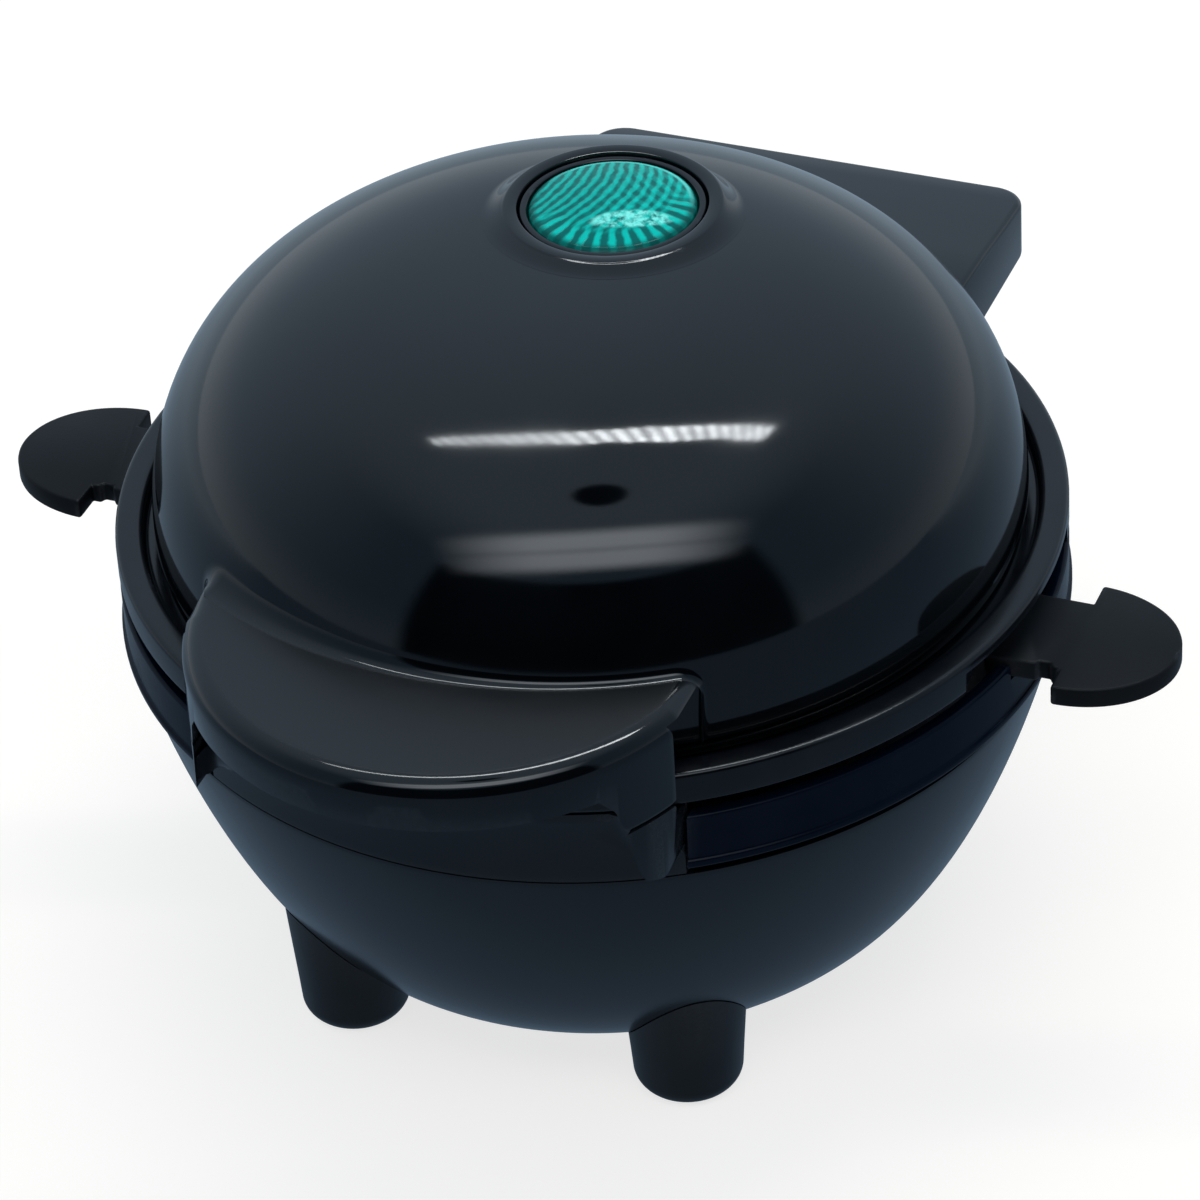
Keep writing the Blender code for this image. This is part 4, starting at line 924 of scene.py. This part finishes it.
def leg_skin(name, x, y):
    """Round tapered leg with a rolled foot edge."""
    foot_radius, top_radius, roll, top_z = 0.0076, LEG_TOP_RADIUS, 0.0030, -0.0430
    rolled = arc((foot_radius - roll, FLOOR_Z + roll), roll, -90, 0, 13)
    profile = [(0.0, FLOOR_Z + 0.0003), (0.0036, FLOOR_Z + 0.0003), (0.0040, FLOOR_Z), *rolled,
               (foot_radius + 0.0002, FLOOR_Z + roll + 0.003), (top_radius, top_z - 0.001),
               (top_radius - 0.002, top_z), (0.0, top_z)]
    return carve(turned(name, profile, steps=96, x=x, y=y), bowl_room(0.0001))


def leg_places():
    """The middle of each leg, seen from above."""
    places = {}
    for node in ("leg_front_left", "leg_front_right", "leg_rear_left", "leg_rear_right"):
        middle = (low(node) + high(node)) / 2
        places[node] = (middle.x, middle.y)
    return places


def bottom_cover_skin():
    """Round cover with a groove, cut away round the legs."""
    top, bottom = high("bottom_cover").z, low("bottom_cover").z
    radius, groove = 0.0390, bottom + 0.0003
    profile = [(0.0, top), (radius, top), (radius, bottom), (0.0280, bottom), (0.0276, groove),
               (0.0264, groove), (0.0260, bottom), (0.0, bottom)]
    cover = turned("bottom_cover_skin", rounded(profile, 0.0005))
    for x, y in leg_places().values():
        carve(cover, disc_cutter(LEG_TOP_RADIUS + 0.0003, FLOOR_Z, -0.05, x, y, MEDIUM))
    return cover


def screw_skin(name):
    """Pan-head screw with a cross recess, hanging head down."""
    screw_low, screw_high = low(name), high(name)
    x, y, _ = (screw_low + screw_high) / 2
    bottom, head_radius, head_height, shank_radius = screw_low.z, 0.0029, 0.0020, 0.0013
    profile = [(head_radius * math.sin(a), bottom + 0.0018 * (1 - math.cos(a)) ** 1.2)
               for a in (math.pi / 2 * i / 10 for i in range(11))]
    profile += [(head_radius, bottom + head_height), (shank_radius, bottom + head_height),
                (shank_radius, screw_high.z), (0.0, screw_high.z)]
    screw = turned(name + "_skin", profile, steps=SMALL, x=x, y=y)
    for long_x, long_y in ((0.0016, 0.0004), (0.0004, 0.0016)):
        carve(screw, block("recess", (x - long_x, y - long_y, bottom - 0.001),
                           (x + long_x, y + long_y, bottom + 0.0011)))
    return screw


def cooking_plate_skin(name, away):
    """Plate with four ring cavities whose edges roll into the face."""
    node = name.replace("_skin", "")
    face = low(node).z if away > 0 else high(node).z
    rim_z, back_z, step_radius = face + away * 0.0032, face + away * 0.0083, 0.0498
    plate = turned(name, rounded(
        [(0.0, face), (PLATE_RADIUS, face), (PLATE_RADIUS, rim_z), (step_radius, rim_z),
         (step_radius, back_z), (0.0, back_z)], 0.0007, 6))
    for x, y in arc((0.0, 0.0), DONUT_OFFSET, 0, 270, 4):
        carve(plate, cavity_cutter(x, y, face, away))
    return plate


def cavity_cutter(x, y, face, away):
    """A ring cavity's form, with a rolled edge on each side of it."""
    mean, tube, roll = DONUT_MEAN_RADIUS, DONUT_TUBE_RADIUS, 0.0005
    outer, inner = mean + tube + roll, mean - tube - roll
    section = [(outer, -roll), *arc((outer, roll), roll, -90, -180, 6),
               *arc((mean, 0.0), tube, 0, 180, 41)[2:-2],
               *arc((inner, roll), roll, 0, -90, 6), (inner, -roll)]
    return turned("cavity", [(r, face + away * z) for r, z in section], closed=True, steps=96,
                  x=x, y=y)


# ---------------------------------------------------------------- finishes
def make_finishes():
    """Every finish, by the record's slot name or by the piece that it is made for."""
    made = {}
    made["gloss_black"] = finish(
        "gloss_moulded_plastic", (0.0010, 0.0016, 0.0024), (0.0018, 0.0028, 0.0038),
        (0.05, 0.10), 0.0006, 0.0000012, patch=0.020, wear_tone=(0.012, 0.016, 0.020),
        wave=(0.011, 0.000012), satin_level=HANDLE_TOP_Z)
    made["bowl"] = finish(
        "bowl_moulded_plastic", (0.0012, 0.0020, 0.0030), (0.0022, 0.0032, 0.0044),
        (0.17, 0.24), 0.0006, 0.0000020, patch=0.020, wear_tone=(0.012, 0.016, 0.020),
        wave=(0.014, 0.000010))
    made["satin_black"] = finish(
        "satin_ring_plastic", (0.0012, 0.0018, 0.0030), (0.0024, 0.0032, 0.0050),
        (0.16, 0.26), 0.0005, 0.000004, patch=0.009, wear_tone=(0.030, 0.036, 0.045),
        specular=0.40)
    # Painted shade: the base ring gets a darker, bluer and less reflective copy of the ring
    # plastic, for its wall in the shade under the lid ring.
    made["base_ring"] = finish(
        "base_ring_shaded_plastic", (0.0010, 0.0030, 0.0085), (0.0016, 0.0040, 0.0110),
        (0.18, 0.28), 0.0005, 0.000004, patch=0.009, wear_tone=(0.020, 0.028, 0.045),
        specular=0.09)
    made["matte_black"] = finish(
        "matte_cover_plastic", (0.006, 0.007, 0.008), (0.010, 0.011, 0.013),
        (0.42, 0.56), 0.0004, 0.000018, wear_tone=(0.04, 0.04, 0.04))
    made["tab_black"] = finish(
        "tab_plastic", (0.0030, 0.0036, 0.0046), (0.0050, 0.0058, 0.0070),
        (0.34, 0.46), 0.0004, 0.000012, wear_tone=(0.030, 0.034, 0.040), specular=0.14)
    made["leg_black"] = finish(
        "leg_plastic", (0.0030, 0.0036, 0.0046), (0.0050, 0.0058, 0.0070),
        (0.32, 0.44), 0.0005, 0.000010, wear_tone=(0.030, 0.034, 0.040), specular=0.35)
    made["lens_green"] = lens_finish()
    made["neon_glass"] = finish(
        "neon_glass", (0.70, 0.78, 0.76), (0.80, 0.86, 0.84), (0.05, 0.10), 0.001, 0.000004)
    made["nonstick_coating"] = finish(
        "nonstick_coating", (0.018, 0.018, 0.020), (0.030, 0.030, 0.032), (0.34, 0.46),
        0.0003, 0.000012, patch=0.015, wear_tone=(0.09, 0.09, 0.09))
    made["heater_sheath"] = finish(
        "heater_sheath", (0.20, 0.17, 0.15), (0.34, 0.30, 0.27), (0.35, 0.55), 0.0003,
        0.00001, metallic=1.0, stretch=(1.0, 1.0, 3.0))
    made["aluminium_sheet"] = finish(
        "aluminium_sheet", (0.56, 0.56, 0.57), (0.66, 0.66, 0.67), (0.28, 0.42), 0.0003,
        0.000008, metallic=1.0, stretch=(0.1, 1.0, 1.0))
    made["steel"] = finish(
        "plated_steel", (0.46, 0.46, 0.47), (0.60, 0.60, 0.61), (0.22, 0.36), 0.0002,
        0.000006, patch=0.003, metallic=1.0, stretch=(0.15, 1.0, 1.0))
    made["white_ceramic"] = finish(
        "white_ceramic", (0.70, 0.68, 0.63), (0.78, 0.76, 0.71), (0.40, 0.60), 0.0003,
        0.000015)
    made["black_rubber"] = finish(
        "black_rubber", (0.009, 0.009, 0.010), (0.016, 0.016, 0.017), (0.55, 0.70), 0.0003,
        0.00002, specular=0.3)
    for slot, tone, patch_tone in (
            ("live_sleeve", (0.18, 0.06, 0.03), (0.22, 0.08, 0.035)),
            ("neutral_sleeve", (0.02, 0.07, 0.32), (0.025, 0.09, 0.38)),
            ("earth_sleeve", (0.30, 0.40, 0.03), (0.38, 0.48, 0.035))):
        made[slot] = finish(slot, tone, patch_tone, (0.40, 0.55), 0.0004, 0.00001)
    return made


# ---------------------------------------------------------------- studio
VIEW_AZIMUTH = 23.45          # degrees that the camera stands to the right of the front
VIEW_DEG = VIEW_AZIMUTH - 90.0   # the same direction as an angle from +X
LIGHT_HEIGHT = 0.90           # metres from the dome's top to both lights
SPOT_AZIMUTH = 34.0           # degrees to the right of the front, of the overhead dark spot


def look_along(obj, right, up, forward):
    obj.rotation_mode = "QUATERNION"
    obj.rotation_quaternion = Matrix((right, up, -forward)).transposed().to_quaternion()


def studio_floor():
    """A wide pale floor, dimmer in reflections so that it doesn't wash out the gloss."""
    level = FLOOR_Z - 0.0001
    rows = [[Vector((0.0, 0.0, level))]]
    rows += [[Vector((x, y, level)) for x, y in arc((0.0, 0.0), r, 0, 360, 65)[:-1]]
             for r in (0.4, 1.5, 6.0)]
    floor = mesh_piece("studio_floor", lambda bm: loft(bm, rows))
    mat, tree, shader = new_material("pale_floor")
    place = given(tree, "ShaderNodeTexCoord", "Object")
    tone = mixed(noise(place, 0.05, 2.0), (0.42, 0.36, 0.30), (0.44, 0.38, 0.32))
    set_inputs(shader, Base_Color=tone, Emission_Color=(1.0, 1.0, 1.0, 1.0),
               Emission_Strength=0.74, Roughness=0.9, Specular_IOR_Level=0.1)
    x, y, _ = place.xyz()
    behind = toward(x, y, VIEW_DEG).ramp(0.10, -0.50)
    dim = add(tree, "ShaderNodeEmission")
    set_inputs(dim, Color=mixed(behind, (0.125, 0.190, 0.270), (0.40, 0.51, 0.61)))
    blend = add(tree, "ShaderNodeMixShader")
    given(tree, "ShaderNodeLightPath", "Is Glossy Ray").to(blend.inputs[0])
    tree.links.new(shader.outputs[0], blend.inputs[1])
    tree.links.new(dim.outputs[0], blend.inputs[2])
    tree.links.new(blend.outputs[0], tree.nodes["Material Output"].inputs["Surface"])
    floor.data.materials.append(mat)


def area_light(name, place, target, size, radiance, colour, turn_deg):
    """A rectangular soft light of a given brightness, aimed at a point; returns its nodes."""
    data = bpy.data.lights.new(name, "AREA")
    data.shape = "RECTANGLE"
    data.size, data.size_y = size
    data.energy = radiance * math.pi * size[0] * size[1]
    data.color = colour
    obj = new_object(name, data, place)
    aim = (target - place).normalized()
    turn = math.radians(turn_deg)
    up = Vector((math.cos(turn), math.sin(turn), 0.0)).cross(aim).normalized()
    look_along(obj, aim.cross(up).normalized(), up, aim)
    obj.visible_camera = False
    data.use_nodes = True
    return data.node_tree


def across_light(tree):
    """Place on a light's face, from 0 to 1 along its width and along its height."""
    return given(tree, "ShaderNodeNewGeometry", "Parametric").xyz()[:2]


def fade(value, edge):
    """1 in the middle of a light, fading to 0 over both its edges."""
    return value.ramp(0.0, edge) * value.ramp(1.0, 1.0 - edge)


def strip_light(top):
    """A narrow overhead strip a little behind the object, with lumpy, dashed brightness."""
    place = top + Vector((-0.045, 0.245, 1.0)) * LIGHT_HEIGHT
    tree = area_light("strip_light", place, top, (0.89, 0.12), 16.0, (0.92, 0.97, 1.0), 19.0)
    u, v = across_light(tree)
    streak = add(tree, "ShaderNodeCombineXYZ")
    set_inputs(streak, X=u * 13.0, Y=v * 1.5)
    lumpy = noise(Value(tree, streak.outputs[0]), 1.0, 2.0)
    off_middle = abs(v - 0.5 + (lumpy - 0.5) * 0.25)
    body = (off_middle / u.spread(0.0, 0.6, 0.24, 0.46)).ramp(1.0, 0.60)
    dashes = (u * 150.0 + v * 9.0).calc("SINE").spread(-1.0, 1.0, 0.35, 1.15)
    lumps = lumpy.spread(0.32, 0.55, 0.75, 1.2)
    power = body * dashes * lumps * u.spread(0.0, 0.60, 0.75, 1.25) * fade(u, 0.02)
    power.to(tree.nodes["Emission"].inputs["Strength"])


def front_panel(top):
    """A wide soft panel above the camera, with a faint seam along its middle."""
    a = math.radians(VIEW_DEG)
    place = top + Vector((0.69 * math.cos(a), 0.69 * math.sin(a), 1.0)) * LIGHT_HEIGHT
    tree = area_light("front_panel", place, top, (1.60, 0.44), 3.0, (0.88, 0.93, 1.0),
                      VIEW_AZIMUTH)
    u, v = across_light(tree)
    seam = abs(v - 0.5).ramp(0.0, 0.10, 0.72, 1.0)
    power = fade(u, 0.38) * seam * fade(v, 0.26)
    power.to(tree.nodes["Emission"].inputs["Strength"])


def studio_world():
    """Soft surroundings: light at the back and sides, dark in front, white to the camera."""
    world = bpy.data.worlds.new("studio")
    bpy.context.scene.world = world
    world.use_nodes = True
    tree = world.node_tree
    x, y, z = given(tree, "ShaderNodeTexCoord", "Generated").xyz()
    ahead, aside = toward(x, y, VIEW_DEG), toward(x, y, VIEW_AZIMUTH)
    level = flat_length(ahead, aside)
    around = (ahead / level.calc("MAXIMUM", 0.001)).ramp(0.55, -0.85)
    side_tone = mixed(around, (0.15, 0.24, 0.33), (0.46, 0.59, 0.73))
    low_tone = mixed(around, (0.25, 0.34, 0.42), (0.66, 0.76, 0.85))
    tone = mixed(z.ramp(0.72, 0.96), side_tone, (0.46, 0.60, 0.72))
    tone = mixed(z.ramp(0.34, 0.0, 0.0, 0.9), tone, low_tone)
    bearing, rise = abs(aside).calc("ARCTAN2", ahead), z.calc("ARCTAN2", level)
    opening = (bearing.ramp(math.radians(52), math.radians(47))
               * rise.ramp(math.radians(44), math.radians(41)))
    tone = mixed(opening, tone, (0.0, 0.0, 0.0))
    to_spot = toward(x, y, SPOT_AZIMUTH - 90.0) * 0.139 + z * 0.990
    spot = to_spot.ramp(math.cos(math.radians(5.6)), math.cos(math.radians(4.0)))
    tone = mixed(spot, tone, (0.0, 0.0, 0.0))
    tone = mixed(given(tree, "ShaderNodeLightPath", "Is Camera Ray"), tone, (1.0, 1.0, 1.0))
    tone.to(tree.nodes["Background"].inputs["Color"])


def camera():
    """Camera at the photograph's distance, angle and field of view."""
    data = bpy.data.cameras.new("view")
    data.lens = 171.67
    data.sensor_width = 36.0
    data.clip_start = 0.01
    obj = new_object("view", data, ORIGIN + Vector((0.25426, -0.58604, 0.44756)))
    look_along(obj, Vector((0.93024, 0.36359, -0.04958)), Vector((-0.17758, 0.56428, 0.80626)),
               Vector((-0.32113, 0.74122, -0.58947)))
    bpy.context.scene.camera = obj


# ---------------------------------------------------------------- everything together
FINISHES = make_finishes()


def build_lid():
    shell = join("lid_shell_skin", dome_skin(), collar_skin(), handle_skin(), handle_fillet())
    finished(shell, "lid", ["lid_shell"], "gloss_black")
    finished(lid_ring_skin(), "lid", ["lid_ring"], "satin_black")
    finished(hinge_cover_skin(), "lid", ["hinge_cover"], "gloss_black")
    finished(bezel_skin(), "lid", ["lamp_bezel"], "satin_black")
    finished(lens_skin(), "lid", ["lamp_lens"], "lens_green")
    finished(cooking_plate_skin("upper_plate_skin", 1), "lid", ["upper_plate"],
             "nonstick_coating")


def build_base():
    # The base ring takes the darker shaded copy of the ring plastic (painted shade) in the
    # satin_black slot.
    finished(base_ring_skin(), "base", ["base_ring"], "base_ring", "satin_black")
    finished(bowl_skin(), "base", ["base_shell"], "bowl", "gloss_black")
    finished(lower_grip_skin(), "base", ["lower_grip"], "bowl", "gloss_black")
    finished(hinge_bracket_skin(), "base", ["hinge_bracket"], "satin_black")
    finished(hinge_pin_skin(), "base", ["hinge_pin"], "steel")
    for side, node in ((-1, "side_tab_left"), (1, "side_tab_right")):
        finished(side_tab_skin(node + "_skin", side), "base", [node], "tab_black")
    for node, (x, y) in leg_places().items():
        finished(leg_skin(node + "_skin", x, y), "base", [node], "leg_black")
    finished(bottom_cover_skin(), "base", ["bottom_cover"], "matte_black")
    for number in range(1, 5):
        node = f"bottom_cover_screw_{number}"
        finished(screw_skin(node), "base", [node], "steel")
    finished(cord_inlet_skin(), "base", ["cord_inlet"], "black_rubber")
    finished(cooking_plate_skin("lower_plate_skin", -1), "base", ["lower_plate"],
             "nonstick_coating")


def refinish_cad_nodes():
    """Gives every CAD node that is still shown the finish of its own slot."""
    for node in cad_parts.values():
        if node.hide_render:
            continue
        for place in node.material_slots:
            place.material = FINISHES[place.material.name.split(".")[0]]


build_lid()
build_base()
refinish_cad_nodes()
studio_floor()
DOME_TOP = ORIGIN + Vector((0.0, 0.0, DOME_HEIGHT))
strip_light(DOME_TOP)
front_panel(DOME_TOP)
studio_world()
camera()
bpy.context.scene.view_settings.view_transform = "Standard"
